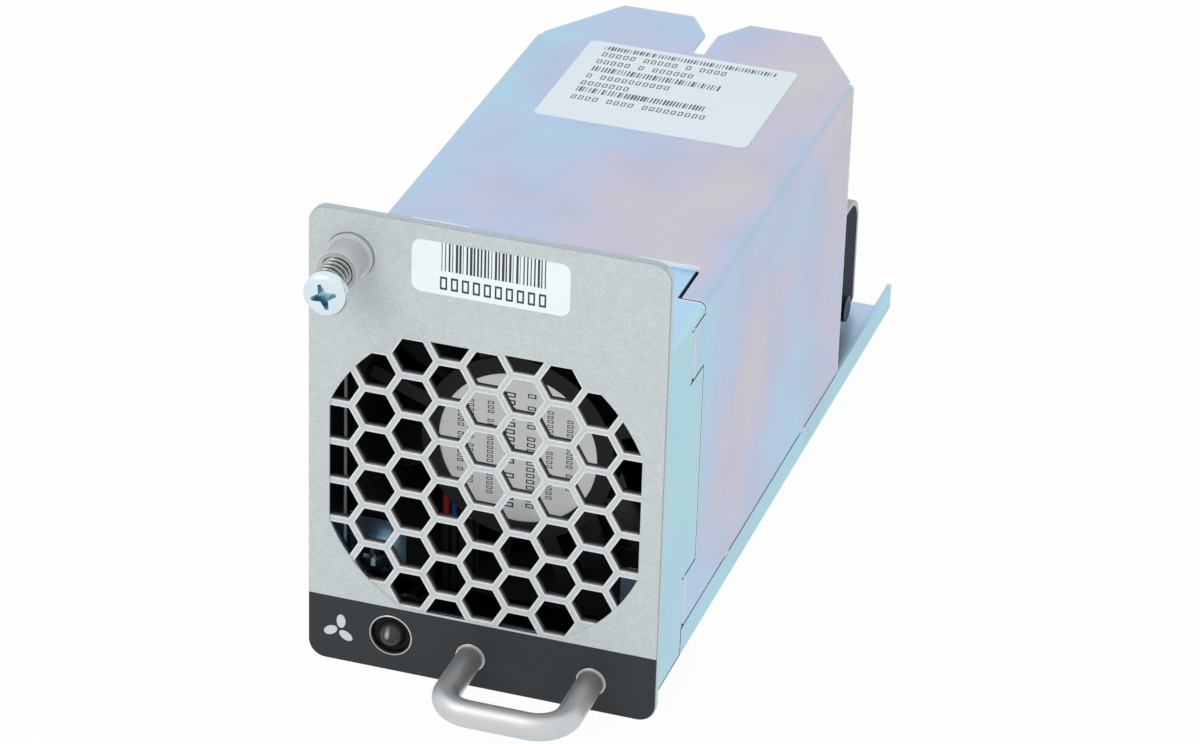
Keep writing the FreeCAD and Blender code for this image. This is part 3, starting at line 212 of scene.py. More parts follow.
class FanModuleSizes(bpy.types.PropertyGroup):
    """Sizes of the printed and turned pieces."""

    band_height: length("Band height", "Top of the dark band above the panel's foot", 12.75)
    icon_radius: length("Icon radius", "Outer radius of the mark on the band", 2.9)
    bar_pitch: length("Bar pitch", "Room for each bar on the labels", 0.62)
    print_depth: length("Print depth", "Thickness of printed marks", 0.03)
    edge_radius: length("Edge radius", "Softening of cut sheet edges", 0.12)
    spring_wire: length("Spring wire", "Radius of the captive spring's wire", 0.25)
    spring_turns: FloatProperty(name="Spring turns", description="Turns of the captive spring", default=9.25,
                                min=3)
    head_height: length("Head height", "Height of the captive screw's head", 2.2)
    shank_radius: length("Shank radius", "Plain shank of the captive screw", 1.2)
    thread_pitch: length("Thread pitch", "Pitch of the captive screw's thread", 0.7)
    thread_length: length("Thread length", "Threaded end of the captive screw", 5.4)
    recess_reach: length("Recess reach", "Half length of the driver recess", 3.1)
    recess_width: length("Recess width", "Half width of the driver recess at its tips", 0.38)
    recess_core: length("Recess core", "Half width of the driver recess at its middle", 0.95)
    recess_turn: angle("Recess turn", "How far the driver recess is turned", -18)
    recess_depth: length("Recess depth", "Depth of the driver recess", 1.4)
    # Width of the highlight painted round the connector board's corner
    corner_rim_highlight: length("Bare margin", "Bare margin round the connector board's corner", 1.1)
    board_corner: length("Board corner", "Radius of the connector board's upper corner", 6.0)
    # Width of the highlight painted round the circuit boards
    board_rim_highlight: length("Board margin", "Bare margin round the circuit boards", 0.5)
    # Reach of the highlight painted on the honeycomb's rims
    web_highlight_reach: length("Web rim", "Reach of the wear on the honeycomb's rims", 0.85)
    # Reach of the highlight painted on the rims
    rim_highlight_width: length("Rim width", "Reach of the bright rims of cut sheet", 0.7)
    # Height up to which the leads are painted black as shade
    wire_shade_height: length("Sleeve start", "Height to which the leads run in a black sleeve", 21.0)
    # Below this height the painted shade along the tray's lips is the pale seam shade
    seam_height: length("Seam height", "Height to which a pale seam shows along the tray's lips", 12.0)
    bracket_foot: length("Bracket foot", "Top of the shade along the bracket's foot", 4.6)
    bend_radius: length("Bend radius", "Outer radius of the sleeve's bends", 1.0)
    seam_reach: length("Seam reach", "How far the shade of a seam reaches", 1.0)


class FanModuleStudio(bpy.types.PropertyGroup):
    """The camera and the lamps."""

    azimuth: angle("Azimuth", "Camera's turn to the right of the panel", 17.314)
    elevation: angle("Elevation", "Camera's height above the horizon", 28.383)
    roll: angle("Roll", "Camera's turn about its own line of sight", 1.887)
    eye: FloatVectorProperty(name="Eye", description="Camera's place", default=(0.22561, -0.72800, 0.43949),
                             subtype="TRANSLATION")
    lens: FloatProperty(name="Lens", description="Focal length on a 36 mm wide sensor", default=142.98,
                        unit="CAMERA")
    ambient: FloatProperty(name="Ambient", description="Even light from all round", default=0.60, min=0)
    key_power: power("Key power", "Soft lamp up on the left", 3.0)
    fill_power: power("Fill power", "Soft lamp low on the right", 1.6)
    front_power: power("Front power", "Soft lamp beside the camera", 2.6)
    floor_glow: FloatProperty(name="Floor glow", description="How far the floor is lifted to white",
                              default=0.96, min=0, max=1, subtype="FACTOR")


class Flow:
    """A shader socket that takes part in Python arithmetic; each operation adds a Math node."""

    def __init__(self, sketch, socket):
        self.sketch = sketch
        self.socket = socket

    def maths(self, operation, first, second=0.0):
        return self.sketch.add("ShaderNodeMath", {"operation": operation}, {0: first, 1: second})

    def __add__(self, other):
        return self.maths("ADD", self, other)

    __radd__ = __add__

    def __sub__(self, other):
        return self.maths("SUBTRACT", self, other)

    def __rsub__(self, other):
        return self.maths("SUBTRACT", other, self)

    def __mul__(self, other):
        return self.maths("MULTIPLY", self, other)

    __rmul__ = __mul__

    def __truediv__(self, other):
        return self.maths("DIVIDE", self, other)

    def __gt__(self, other):
        return self.maths("GREATER_THAN", self, other)

    def __lt__(self, other):
        return self.maths("LESS_THAN", self, other)

    def __abs__(self):
        return self.maths("ABSOLUTE", self)

    def __floor__(self):
        return self.maths("FLOOR", self)


class Sketch:
    """A node tree that is built one node at a time."""

    def __init__(self, tree):
        self.tree = tree

    def add(self, kind, settings=(), sockets=(), output=0):
        """Add a node: its settings first, then the values or links of its sockets."""
        item = self.tree.nodes.new(kind)
        for name, value in dict(settings).items():
            if name == "stops":
                self.set_stops(item.color_ramp, value)
            else:
                setattr(item, name, value)
        for key, value in dict(sockets).items():
            self.feed(item.inputs[key], value)
        return Flow(self, item.outputs[output])

    def feed(self, socket, value):
        if isinstance(value, Flow):
            self.tree.links.new(value.socket, socket)
        else:
            socket.default_value = value

    @staticmethod
    def set_stops(ramp, stops):
        while len(ramp.elements) < len(stops):
            ramp.elements.new(1.0)
        for element, (position, colour) in zip(ramp.elements, stops):
            element.position = position
            element.color = (*colour, 1)

    def mix(self, factor, first, second):
        """Blend two colours."""
        first, second = (c if isinstance(c, Flow) else (*c, 1) for c in (first, second))
        return self.add("ShaderNodeMix", {"data_type": "RGBA"}, {0: factor, 6: first, 7: second}, 2)

    def smooth(self, value, low, high):
        """A soft step from 0 at low to 1 at high."""
        return self.add("ShaderNodeMapRange", {"interpolation_type": "SMOOTHSTEP"},
                        {"Value": value, "From Min": low, "From Max": high})

    def ramp(self, value, *stops):
        return self.add("ShaderNodeValToRGB", {"stops": stops}, {"Fac": value})


class Finish(Sketch):
    """A material on the piece's own coordinates."""

    def __init__(self, name):
        self.material = bpy.data.materials.new(name)
        self.material.use_nodes = True
        super().__init__(self.material.node_tree)
        self.shader = self.tree.nodes["Principled BSDF"]
        self.here = self.add("ShaderNodeTexCoord", output="Object")
        self.x, self.y, self.z = (self.add("ShaderNodeSeparateXYZ", sockets={0: self.here}, output=axis)
                                  for axis in "XYZ")

    def noise(self, scale, detail=2.0, stretch=(1, 1, 1), shift=(0, 0, 0)):
        """Soft noise from 0 to 1, with so many features to the metre, drawn out along an axis by stretch."""
        spread = self.add("ShaderNodeMapping",
                          sockets={"Vector": self.here, "Scale": stretch, "Location": shift})
        return self.add("ShaderNodeTexNoise", sockets={"Vector": spread, "Scale": scale, "Detail": detail})

    def within(self, value, low, high):
        return (value > low) * (value < high)

    def distance(self, centre):
        """Distance from the Y line through centre."""
        across, up = self.x - centre.x, self.z - centre.z
        square = across * across + up * up
        return square.maths("SQRT", square)

    def normal(self, width=0.0, samples=EDGE_SAMPLES):
        """The normal, over edges softened by a width where one is given."""
        if width:
            return self.add("ShaderNodeBevel", {"samples": samples}, {"Radius": width})
        return self.add("ShaderNodeNewGeometry", output="Normal")

    def facing(self, axis, width=0.0):
        """One axis of the normal."""
        return self.add("ShaderNodeSeparateXYZ", sockets={0: self.normal(width)}, output=axis)

    def rim(self, width):
        """1 at the edges of a solid, fading out over a width."""
        agree = self.add("ShaderNodeVectorMath", {"operation": "DOT_PRODUCT"},
                         {0: self.normal(width), 1: self.normal()}, "Value")
        return 1 - self.smooth(agree, 0.80, 0.985)

    def open_air(self, reach):
        """1 in the open, falling to 0 deep in seams and corners."""
        air = self.add("ShaderNodeAmbientOcclusion", {"samples": EDGE_SAMPLES}, {"Distance": reach}, "AO")
        return self.smooth(air, 0.12, 0.62)

    def bump(self, height, depth, strength=1.0, radius=0.0):
        """A normal from a height, over softened edges where a radius is given."""
        sockets = {"Height": height, "Distance": depth, "Strength": strength}
        if radius:
            sockets["Normal"] = self.normal(radius, samples=4)
        return self.add("ShaderNodeBump", sockets=sockets, output="Normal")

    def surface(self, **sockets):
        """Set the shader's sockets: base_color for Base Color, and so on."""
        for name, value in sockets.items():
            if name == "base_color" and not isinstance(value, Flow):
                value = (*value, 1)
            self.feed(self.shader.inputs[name.replace("_", " ").title().replace("Ior", "IOR")], value)
        return self.material


def tints():
    return bpy.context.scene.fan_module_tints


def sizes():
    return bpy.context.scene.fan_module_sizes


def shades(colour, spread):
    """A darker and a lighter shade of one colour."""
    return [tuple(min(1.0, channel * factor) for channel in colour) for factor in (1 - spread, 1 + spread)]


def sleeve_tone(finish):
    """Thickness of the sleeve's plating: bluer on the left and in front, warmer on the right and behind."""
    side, _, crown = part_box("sleeve_cover")[1]
    x, y, z = finish.x, finish.y, finish.z
    on_top = finish.smooth(z, crown - 0.7 * MM, crown - 0.1 * MM)
    cloud = finish.noise(26, stretch=(1, 0.7, 1)) - 0.5
    streak = finish.noise(90, detail=3, stretch=(1, 1, 0.16)) - 0.5
    mottle = finish.noise(240) - 0.5
    drift = finish.smooth(x, -26 * MM, 20 * MM)
    margin = finish.smooth(abs(x), 21 * MM, side)
    lobes = finish.smooth(y, 48 * MM, 64 * MM)
    top = 0.42 + drift * 0.20 + cloud * 0.72 + streak * 0.12 - margin * 0.09 - lobes * 0.07
    rear = finish.smooth(y, 5 * MM, 30 * MM)
    front = 1 - finish.smooth(y, -46 * MM, -30 * MM)
    foot = 1 - finish.smooth(z, 12 * MM, 40 * MM)
    flank = 0.52 + rear * 0.10 + cloud * 0.58 + streak * 0.32 - (front + foot) * 0.09 - lobes * 0.06
    return on_top * top + (1 - on_top) * flank + mottle * 0.10


def bracket_tone(finish):
    """Thin, even plating."""
    cloud = finish.noise(40, detail=3, stretch=(1, 0.6, 1)) - 0.5
    streak = finish.noise(150, detail=3, stretch=(1, 1, 0.12)) - 0.5
    return 0.26 + cloud * 0.35 + streak * 0.15


def tray_tone(finish):
    """Thin plating on the lips, thicker towards their rear and on the floor between them."""
    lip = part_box("base_tray")[1].x - LIP_DEPTH
    floor = abs(finish.x) < lip
    rear = finish.smooth(finish.y, 0, 60 * MM) * (1 - floor)
    return bracket_tone(finish) + floor * 0.17 + rear * 0.07


def plated_sheet(name, tone, fold, crest=0.0, cuts=0.0, shaded_ends=(0.0, 0.0)):
    """Zinc plate whose oxide runs from green and cyan to blue, violet, rose and straw as it thickens.

    fold is the colour of a sheen painted along its bends, and crest how far its top is painted a lit sky blue.
    cuts is how far its cut ends are whitened, as bare edge and painted highlight, apart from those that lie
    in a seam between two places along Y, which are painted shade.
    """
    t, s, finish = tints(), sizes(), Finish(name)
    x, y, z = finish.x, finish.y, finish.z
    side, _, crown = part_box("sleeve_cover")[1]
    plating = finish.ramp(tone(finish), (0.16, t.zinc_green), (0.28, t.zinc_cyan), (0.40, t.zinc_blue),
                          (0.49, t.zinc_violet), (0.57, t.zinc_rose), (0.68, t.zinc_straw))
    dull = finish.smooth(finish.noise(55, shift=(3, 1, 2)), 0.42, 0.72)
    plating = finish.mix(dull * 0.27, plating, t.zinc_dusk)
    # Painted light: on the bracket, faces near the sleeve's crown are painted a lit sky blue and spared the
    # painted seam shade
    sky = (z > crown - LIT_TOP_DEPTH) * crest
    plating = finish.mix(sky, plating, t.zinc_lit_top)
    # Painted sheen along the outer bend between top and side
    bend = side + crown - s.bend_radius
    bent = finish.smooth(abs(x) + z, bend, bend + BEND_FADE)
    plating = finish.mix(bent * 0.7, plating, fold)

    # Walls inside the front painted dark as shade, plates there a plain blue set for their shaded look, and a
    # glint painted in a patchy strip on the side walls
    across, flank = (abs(finish.facing(axis)) > SQUARE_ON for axis in "YX")
    inside = (abs(x) < side - WALL_DEPTH) * (z < crown - INNER_DEPTH) * (y < BRACKET_END)
    plating = finish.mix(inside, plating, finish.mix(across, t.inner_wall_shade, t.inner_plate_blue))
    patchy = finish.smooth(finish.noise(120, stretch=(0, 0, 1)), 0.36, 0.46)
    painted_glint = inside * flank * finish.within(y, *INNER_GLINT_STRIP) * patchy
    plating = finish.mix(painted_glint, plating, t.zinc_edge_highlight)

    # Painted shade in seams, on ledges low in the front and along the bracket's foot,
    # and on the edges of the tongues in the sleeve's notches
    front = y < TONGUE_END
    shade = finish.mix((z < s.seam_height) * (y > LIP_START), t.zinc_painted_shade, t.zinc_seam)
    shaded_ledges = (finish.facing("Z") > 0.5) * (z < crown - SEAM_DEPTH) * (1 - inside) * front
    # Painted shade along the bracket's foot
    under = finish.within(z, s.bracket_foot - INNER_DEPTH, s.bracket_foot) * (y < FOOT_END)
    # The tongues' edges are painted a shade colour and shaded as a plain non-metal
    shaded_tongue_edge = flank * (z > crown - TONGUE_DEPTH) * (abs(x) < side - TONGUE_INSET) * front
    painted_shade_mask = finish.smooth(shaded_ledges + under, 0.4, 0.6)
    plating = finish.mix(painted_shade_mask, plating, shade)
    # Ambient occlusion paints shade into seams and corners, sparing the lit top and the tongue edges
    plating = finish.mix(finish.open_air(s.seam_reach) + sky * 0.8 + shaded_tongue_edge, shade, plating)
    plating = finish.mix(shaded_tongue_edge, plating, t.tongue_edge_shade)

    # Painted highlights on the rims; cut ends whitened as bare edge and painted highlight, and painted shade in
    # a seam
    cut_end = across * cuts
    bright = finish.smooth(abs(finish.facing("Y", s.rim_highlight_width)), 0.2, 0.5) * (1 - inside) * (1 - painted_shade_mask)
    plating = finish.mix(bright + cut_end * (1 - bright), plating, t.zinc_edge_highlight)
    plating = finish.mix(cut_end * finish.within(y, *shaded_ends), plating, t.zinc_painted_shade)
    grain = finish.noise(1500, stretch=(1, 0.05, 1))
    return finish.surface(base_color=plating, metallic=(1 - cut_end) * (1 - shaded_tongue_edge) * (1 - painted_glint),
                          roughness=0.36 + grain * 0.12,
                          normal=finish.bump(grain, 0.01 * MM, 0.25, s.edge_radius))


def metal(name, colour, roughness, grain_scale=1800, spread=0.08, metallic=1.0, hollow=None, worn=0.0):
    """Metal with a fine grain, painted darker and bluer as shade where hollow gives a mask, and bright on rims
    as wide as worn.
    """
    finish = Finish(name)
    grain = finish.noise(grain_scale, detail=3)
    stain = finish.noise(220)
    base = finish.mix(stain * 0.6 + grain * 0.4, *shades(colour, spread))
    if hollow:
        base = finish.mix(hollow(finish), base, tints().recess_shade)
    if worn:
        base = finish.mix(finish.rim(worn), base, tints().worn_bright)
    return finish.surface(base_color=base, metallic=metallic, roughness=roughness - 0.06 + grain * 0.12,
                          normal=finish.bump(grain, 0.01 * MM, 0.3))


def moulded(name, colour, roughness=0.42, spread=0.25, shine=0.5):
    """Plastic with a fine spark-eroded texture."""
    finish = Finish(name)
    texture = finish.noise(4200)
    flow = finish.noise(90)
    return finish.surface(base_color=finish.mix(flow, *shades(colour, spread)), specular_ior_level=shine,
                          roughness=roughness - 0.08 + texture * 0.16,
                          normal=finish.bump(texture, 0.02 * MM, 0.35))


def speckled(finish, colour, spread):
    """The fine sparkle of a metallic paint."""
    fleck = finish.noise(3000)
    cloud = finish.noise(700)
    return finish.mix(finish.smooth(fleck * 0.75 + cloud * 0.25, 0.36, 0.64), *shades(colour, spread))


def painted_panel():
    """Silver paint with a painted highlight on the honeycomb's rims and painted shade on the walls of its
    cells.
    """
    t, finish = tints(), Finish("panel_paint")
    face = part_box("front_panel")[0].y
    grille = (abs(finish.x) < GRILLE_HALF_WIDTH) * (abs(finish.z - GRILLE_Z) < GRILLE_HALF_HEIGHT)
    # Painted shade on the walls of the cells, deepening towards the back
    wall_shade = finish.smooth(finish.y, face + 0.04 * MM, face + 0.18 * MM) * grille
    deep = finish.smooth(finish.y, face + 0.35 * MM, face + 0.85 * MM)
    # Painted shade: the panel round the status light's hole is painted black
    lamp_hole_shade = finish.distance(middle("light_holder")) < LAMP_HOLE
    # Painted light: a bluer tint on the right-facing edge
    edge = finish.mix(finish.facing("X") > SQUARE_ON, speckled(finish, t.panel_edge, 0.05), t.panel_flank_sheen)
    paint = finish.mix(grille, edge, speckled(finish, t.panel_grey, 0.07))
    # Painted highlight on the rims of the honeycomb
    paint = finish.mix(finish.rim(sizes().web_highlight_reach) * grille, paint, t.panel_rim_highlight)
    paint = finish.mix(wall_shade, paint, finish.mix(deep, t.cell_wall_shade, t.cell_depth_shade))
    fleck = finish.noise(3000)
    return finish.surface(base_color=finish.mix(lamp_hole_shade, paint, t.black_plastic_and_shade), metallic=0.25 * (1 - wall_shade),
                          roughness=0.42 + wall_shade * 0.3,
                          normal=finish.bump(fleck, 0.02 * MM, 0.3, sizes().edge_radius))


def printed_film():
    """Light grey film with a charcoal band along its foot."""
    t, finish = tints(), Finish("overlay_film")
    band = finish.z < sizes().band_height
    dust = finish.noise(2600, detail=3)
    charcoal = finish.mix(dust, *shades(t.band_charcoal, 0.14))
    base = finish.mix(band, speckled(finish, t.film_grey, 0.075), charcoal)
    return finish.surface(base_color=base, metallic=0.15, roughness=0.44 + band * 0.06 + dust * 0.05,
                          specular_ior_level=0.3, normal=finish.bump(dust, 0.015 * MM, 0.35))


def block(finish, across, along, window):
    (low, high), (start, end) = window
    return finish.within(across, low, high) * finish.within(along, start, end)


def chance(finish, spot, seed):
    """A random number for each whole-numbered spot."""
    return finish.add("ShaderNodeTexWhiteNoise", {"noise_dimensions": "1D"}, {"W": spot + seed})


def bars(finish, across, along, window, seed):
    """A block of bars of random widths: a mask that is 1 on the print."""
    step = across / sizes().bar_pitch
    spot = math.floor(step)
    return (step - spot < 0.2 + chance(finish, spot, seed) * 0.55) * block(finish, across, along, window)


def small_boxes(finish, across, along, window, seed, gaps=0.14):
    """A row of small empty boxes, a share of them left out."""
    (low, high), (start, end) = window
    pitch = (end - start) * 0.8
    step, tall = (across - low) / pitch, (along - start) / (end - start)
    spot = math.floor(step)
    wide = step - spot
    hollow = finish.within(wide, 0.22, 0.56) * finish.within(tall, 0.16, 0.84)
    box = finish.within(wide, 0.06, 0.72) * (1 - hollow)
    whole = low, low + math.floor((high - low) / pitch) * pitch
    return box * (chance(finish, spot, seed) > gaps) * block(finish, across, along, (whole, window[1]))


def full_boxes(finish, across, along, window, seed):
    """A row of small empty boxes with none left out."""
    return small_boxes(finish, across, along, window, seed, gaps=-1.0)


def label_stock(name, stock, prints, along, ink, metallic=0.0):
    """Pale label stock with printed marks, each a (mark, window, seed), with True added where it is turned."""
    finish = Finish(name)
    paper = finish.noise(1400, detail=3)
    base = finish.mix(paper, *shades(stock, 0.025))
    across, up = finish.x, getattr(finish, along)
    for mark, window, seed, *turned in prints:
        place = (up, across) if turned else (across, up)
        base = finish.mix(mark(finish, *place, window, seed), base, ink)
    return finish.surface(base_color=base, roughness=0.38 + paper * 0.1, metallic=metallic, coat_weight=0.15)


def circuit_board(name, axis, faces, corner=None):
    """Dark solder mask with faint tracks on the faces, the pale cut edge between them, and a painted highlight
    round them.

    corner is the middle (y, z) and the radius of a rounded corner, round which the painted highlight is wider.
    """
    t, finish = tints(), Finish(name)
    low, high = faces
    edge = finish.within(getattr(finish, axis), low + MASK_DEPTH, high - MASK_DEPTH)
    tracks = finish.add("ShaderNodeTexBrick", {"offset": 0.5},
                        {"Vector": finish.here, "Scale": 260.0, "Mortar Size": 0.03}, "Fac")
    mask = finish.mix(tracks * 0.6, *shades(t.mask_black, 0.3))
    # Painted highlight along the rims of the faces
    margin = finish.rim(sizes().board_rim_highlight)
    if corner:
        along, up, radius = corner
        past, over = ((value + abs(value)) / 2 for value in (finish.y - along, finish.z - up))
        inner = radius - sizes().corner_rim_highlight
        margin = margin + (past * past + over * over > inner * inner)
    base = finish.mix(edge + (1 - edge) * margin, mask, t.board_edge_and_highlight)
    return finish.surface(base_color=base, roughness=0.58 + edge * 0.1, specular_ior_level=0.06,
                          normal=finish.bump(tracks, 0.03 * MM, 0.3))


def wound_copper():
    """Rows of fine enamelled wire."""
    finish = Finish("coil_copper")
    rows = finish.add("ShaderNodeTexWave", {"bands_direction": "DIAGONAL"},
                      {"Vector": finish.here, "Scale": 900.0, "Distortion": 0.6})
    base = finish.mix(rows, *shades(tints().copper, 0.3))
    return finish.surface(base_color=base, metallic=0.9, roughness=0.32, coat_weight=0.4,
                          normal=finish.bump(rows, 0.08 * MM, 0.7))


def smoked_lens():
    """Dark lens, painted lighter towards its top, with a small painted highlight."""
    t, finish = tints(), Finish("light_lens")
    lamp = middle("status_light") + LENS_HIGHLIGHT_SHIFT
    across, up = (finish.x - lamp.x) * 1.8, finish.z - lamp.z
    square = across * across + up * up
    painted_highlight = 1 - finish.smooth(square.maths("SQRT", square), 0.3 * MM, 1.1 * MM)
    painted_top_light = finish.smooth(finish.z - lamp.z, -3.0 * MM, 1.5 * MM)
    base = finish.mix(painted_highlight, finish.mix(painted_top_light, *shades(t.lens_smoke, 0.7)), t.lens_painted_highlight)
    return finish.surface(base_color=base, roughness=0.10, specular_ior_level=0.4)


def wire_jacket(name, colour):
    """Coloured insulation, painted black as shade over its lower run."""
    finish = Finish(name)
    grain = finish.noise(2200)
    # Painted shade: black below a height
    shaded_lower_run = finish.z < sizes().wire_shade_height
    base = finish.mix(shaded_lower_run, finish.mix(grain, *shades(colour, 0.18)), tints().black_plastic_and_shade)
    return finish.surface(base_color=base, roughness=0.36 + grain * 0.12 + shaded_lower_run * 0.2,
                          specular_ior_level=0.25, normal=finish.bump(grain, 0.01 * MM, 0.3))


def dress(material, *nodes):
    """Give solids of the model their finish."""
    for name in nodes:
        slots = frame["nodes"][name].data.materials
        slots.clear()
        slots.append(material)


def settled(mesh, name):
    """Mesh data from a bmesh that is done with."""
    data = bpy.data.meshes.new(name)
    mesh.to_mesh(data)
    mesh.free()
    return data


def placed(name, data):
    """A new object in the scene."""
    item = bpy.data.objects.new(name, data)
    bpy.context.scene.collection.objects.link(item)
    return item


def piece(name, mesh, material, body):
    """Close and smooth a new mesh and let it ride on a body."""
    bmesh.ops.remove_doubles(mesh, verts=mesh.verts, dist=WELD)
    bmesh.ops.recalc_face_normals(mesh, faces=mesh.faces)
    for face in mesh.faces:
        face.smooth = True
    data = settled(mesh, name)
    data.set_sharp_from_angle(angle=CREASE)
    data.materials.append(material)
    item = placed(name, data)
    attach(item, body)
    return item


def outline(rows, radius, face):
    """Pairs of (radius, place along Y) from millimetres outside a radius and behind a face."""
    return [(radius + out * MM, face + back * MM) for out, back in rows]


def lathe(mesh, centre, pairs, steps=64, closed=False):
    """Spin an outline of (radius, place along Y) once about the Y line through centre."""
    rim = [mesh.verts.new((centre.x + radius, y, centre.z)) for radius, y in pairs]
    runs = [mesh.edges.new(pair) for pair in zip(rim, rim[1:] + (rim[:1] if closed else []))]
    bmesh.ops.spin(mesh, geom=rim + runs, cent=(centre.x, 0, centre.z), axis=(0, 1, 0), angle=ROUND,
                   steps=steps, use_merge=True)


def helix(mesh, profile, centre, rise, turns, steps=40):
    """Wind a profile of edges about the Y line through centre, rising along Y."""
    verts = list({v for edge in profile for v in edge.verts})
    count = round(steps * turns)
    bmesh.ops.spin(mesh, geom=verts + profile, cent=(centre.x, 0, centre.z), axis=(0, 1, 0),
                   dvec=(0, rise / count, 0), angle=ROUND * turns, steps=count)
    bmesh.ops.holes_fill(mesh, edges=[edge for edge in mesh.edges if edge.is_boundary])


def turn(mesh, verts, by, axis):
    """Turn verts about an axis through the origin."""
    bmesh.ops.rotate(mesh, cent=(0, 0, 0), matrix=Matrix.Rotation(by, 3, axis), verts=verts)


def extrude(mesh, faces):
    """Extrude faces and give the verts of the new ones."""
    grown = bmesh.ops.extrude_face_region(mesh, geom=faces)["geom"]
    return [v for v in grown if isinstance(v, bmesh.types.BMVert)]


def cut(item, cutter):
    """Cut one mesh object out of another and drop the cutter."""
    tool = placed("cutter", cutter)
    step = item.modifiers.new("cut", "BOOLEAN")
    step.operation, step.solver, step.object = "DIFFERENCE", "EXACT", tool
    bpy.context.view_layer.update()
    done = bpy.data.meshes.new_from_object(item.evaluated_get(bpy.context.evaluated_depsgraph_get()))
    item.modifiers.remove(step)
    item.data = done
    bpy.data.objects.remove(tool)


class FANMODULE_OT_sheet_metal(bpy.types.Operator):
    """Plate the sleeve, the base, the front bracket and the board bracket"""

    bl_idname = "fan_module.sheet_metal"
    bl_label = "Sheet metal"

    def execute(self, context):
        t = tints()
        dress(plated_sheet("sleeve_zinc", sleeve_tone, t.zinc_bend_sheen, cuts=1.0, shaded_ends=SLEEVE_SHADED_ENDS),
              "sleeve_cover")
        dress(plated_sheet("bracket_zinc", bracket_tone, t.pale_bend_sheen, crest=0.8),
              "front_bracket", "board_bracket")
        dress(plated_sheet("tray_zinc", tray_tone, t.pale_bend_sheen, cuts=1.0, shaded_ends=TRAY_SHADED_ENDS), "base_tray")
        return {"FINISHED"}


class FANMODULE_OT_front_panel(bpy.types.Operator):
    """Paint the panel with its honeycomb and print the film on it"""

    bl_idname = "fan_module.front_panel"
    bl_label = "Front panel"

    def execute(self, context):
        dress(painted_panel(), "front_panel")
        dress(printed_film(), "panel_overlay")
        return {"FINISHED"}


class FANMODULE_OT_labels(bpy.types.Operator):
    """Give the labels plain stock with bars and rows of small boxes"""

    bl_idname = "fan_module.labels"
    bl_label = "Labels"

    def execute(self, context):
        ink = tints().print_black
        front = [(bars, self.window(-8.4, 10.4, 79.6, 85.0), 11.0),
                 (full_boxes, self.window(-8.4, 11.0, 76.1, 78.5), 5.0)]
        dress(label_stock("front_label_stock", tints().front_label_sky_tinted, front, "z", ink), "front_label")

        # Mark, span across, far and near edge before the label's rear, seed
        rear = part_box("top_label")[1].y / MM
        rows = [(bars, (-16.8, 16.6), 3.3, 1.6, 31.0), (small_boxes, (-16.4, 9.0), 6.2, 4.5, 7.0),
                (small_boxes, (-16.4, 3.4), 9.5, 7.8, 13.0), (bars, (-16.2, 8.6), 13.0, 10.8, 57.0),
                (small_boxes, (-16.2, 0.4), 16.1, 14.4, 19.0), (small_boxes, (-16.2, -6.0), 19.3, 17.6, 23.0),
                (bars, (-16.0, 8.4), 22.4, 20.2, 83.0), (small_boxes, (-16.0, 10.0), 25.7, 24.0, 29.0)]
        top = [(mark, self.window(*span, rear - far, rear - near), seed)
               for mark, span, far, near, seed in rows]
        dress(label_stock("top_label_stock", tints().top_label_sky_tinted, top, "y", ink), "top_label")

        # Left edge, width, half height, seed
        hub = middle("front_fan_hub_label").z / MM
        columns = [(-11.0, 1.1, 6.5, 3.0), (-9.2, 1.1, 8.5, 9.0), (-5.6, 1.1, 10.0, 39.0),
                   (-2.4, 1.8, 12.0, 15.0), (1.6, 1.5, 11.5, 21.0), (5.2, 1.1, 9.0, 27.0),
                   (8.8, 1.1, 7.5, 33.0)]
        lines = [(small_boxes, self.window(hub - reach, hub + reach, x, x + width), seed, True)
                 for x, width, reach, seed in columns]
        dress(label_stock("hub_label_stock", tints().label_white, lines, "z", tints().print_hub, metallic=0.9),
              *fan_parts("hub_label"))
        return {"FINISHED"}

    def window(self, low, high, start, end):
        """A printed block from millimetres."""
        return (low * MM, high * MM), (start * MM, end * MM)


class FANMODULE_OT_band_icon(bpy.types.Operator):
    """Print a plain mark of a fan on the dark band"""

    bl_idname = "fan_module.band_icon"
    bl_label = "Band icon"

    def execute(self, context):
        radius, depth = sizes().icon_radius, sizes().print_depth
        mesh = bmesh.new()
        for k in range(3):
            made = bmesh.ops.create_circle(mesh, cap_ends=True, segments=28, radius=radius * 0.46)["verts"]
            bmesh.ops.scale(mesh, vec=(0.62, 1.0, 1.0), verts=made)
            bmesh.ops.translate(mesh, vec=(radius * 0.12, radius * 0.56, 0), verts=made)
            turn(mesh, made, ROUND * k / 3, "Z")
        turn(mesh, mesh.verts, ROUND / 4, "X")
        bmesh.ops.translate(mesh, vec=(0, -depth, 0), verts=extrude(mesh, mesh.faces[:]))
        bmesh.ops.translate(mesh, vec=(ICON_X, FILM_FACE, ICON_Z), verts=mesh.verts)
        ink = moulded("icon_ink", tints().icon_white, 0.5, 0.04)
        piece("band_icon", mesh, ink, "module")
        return {"FINISHED"}


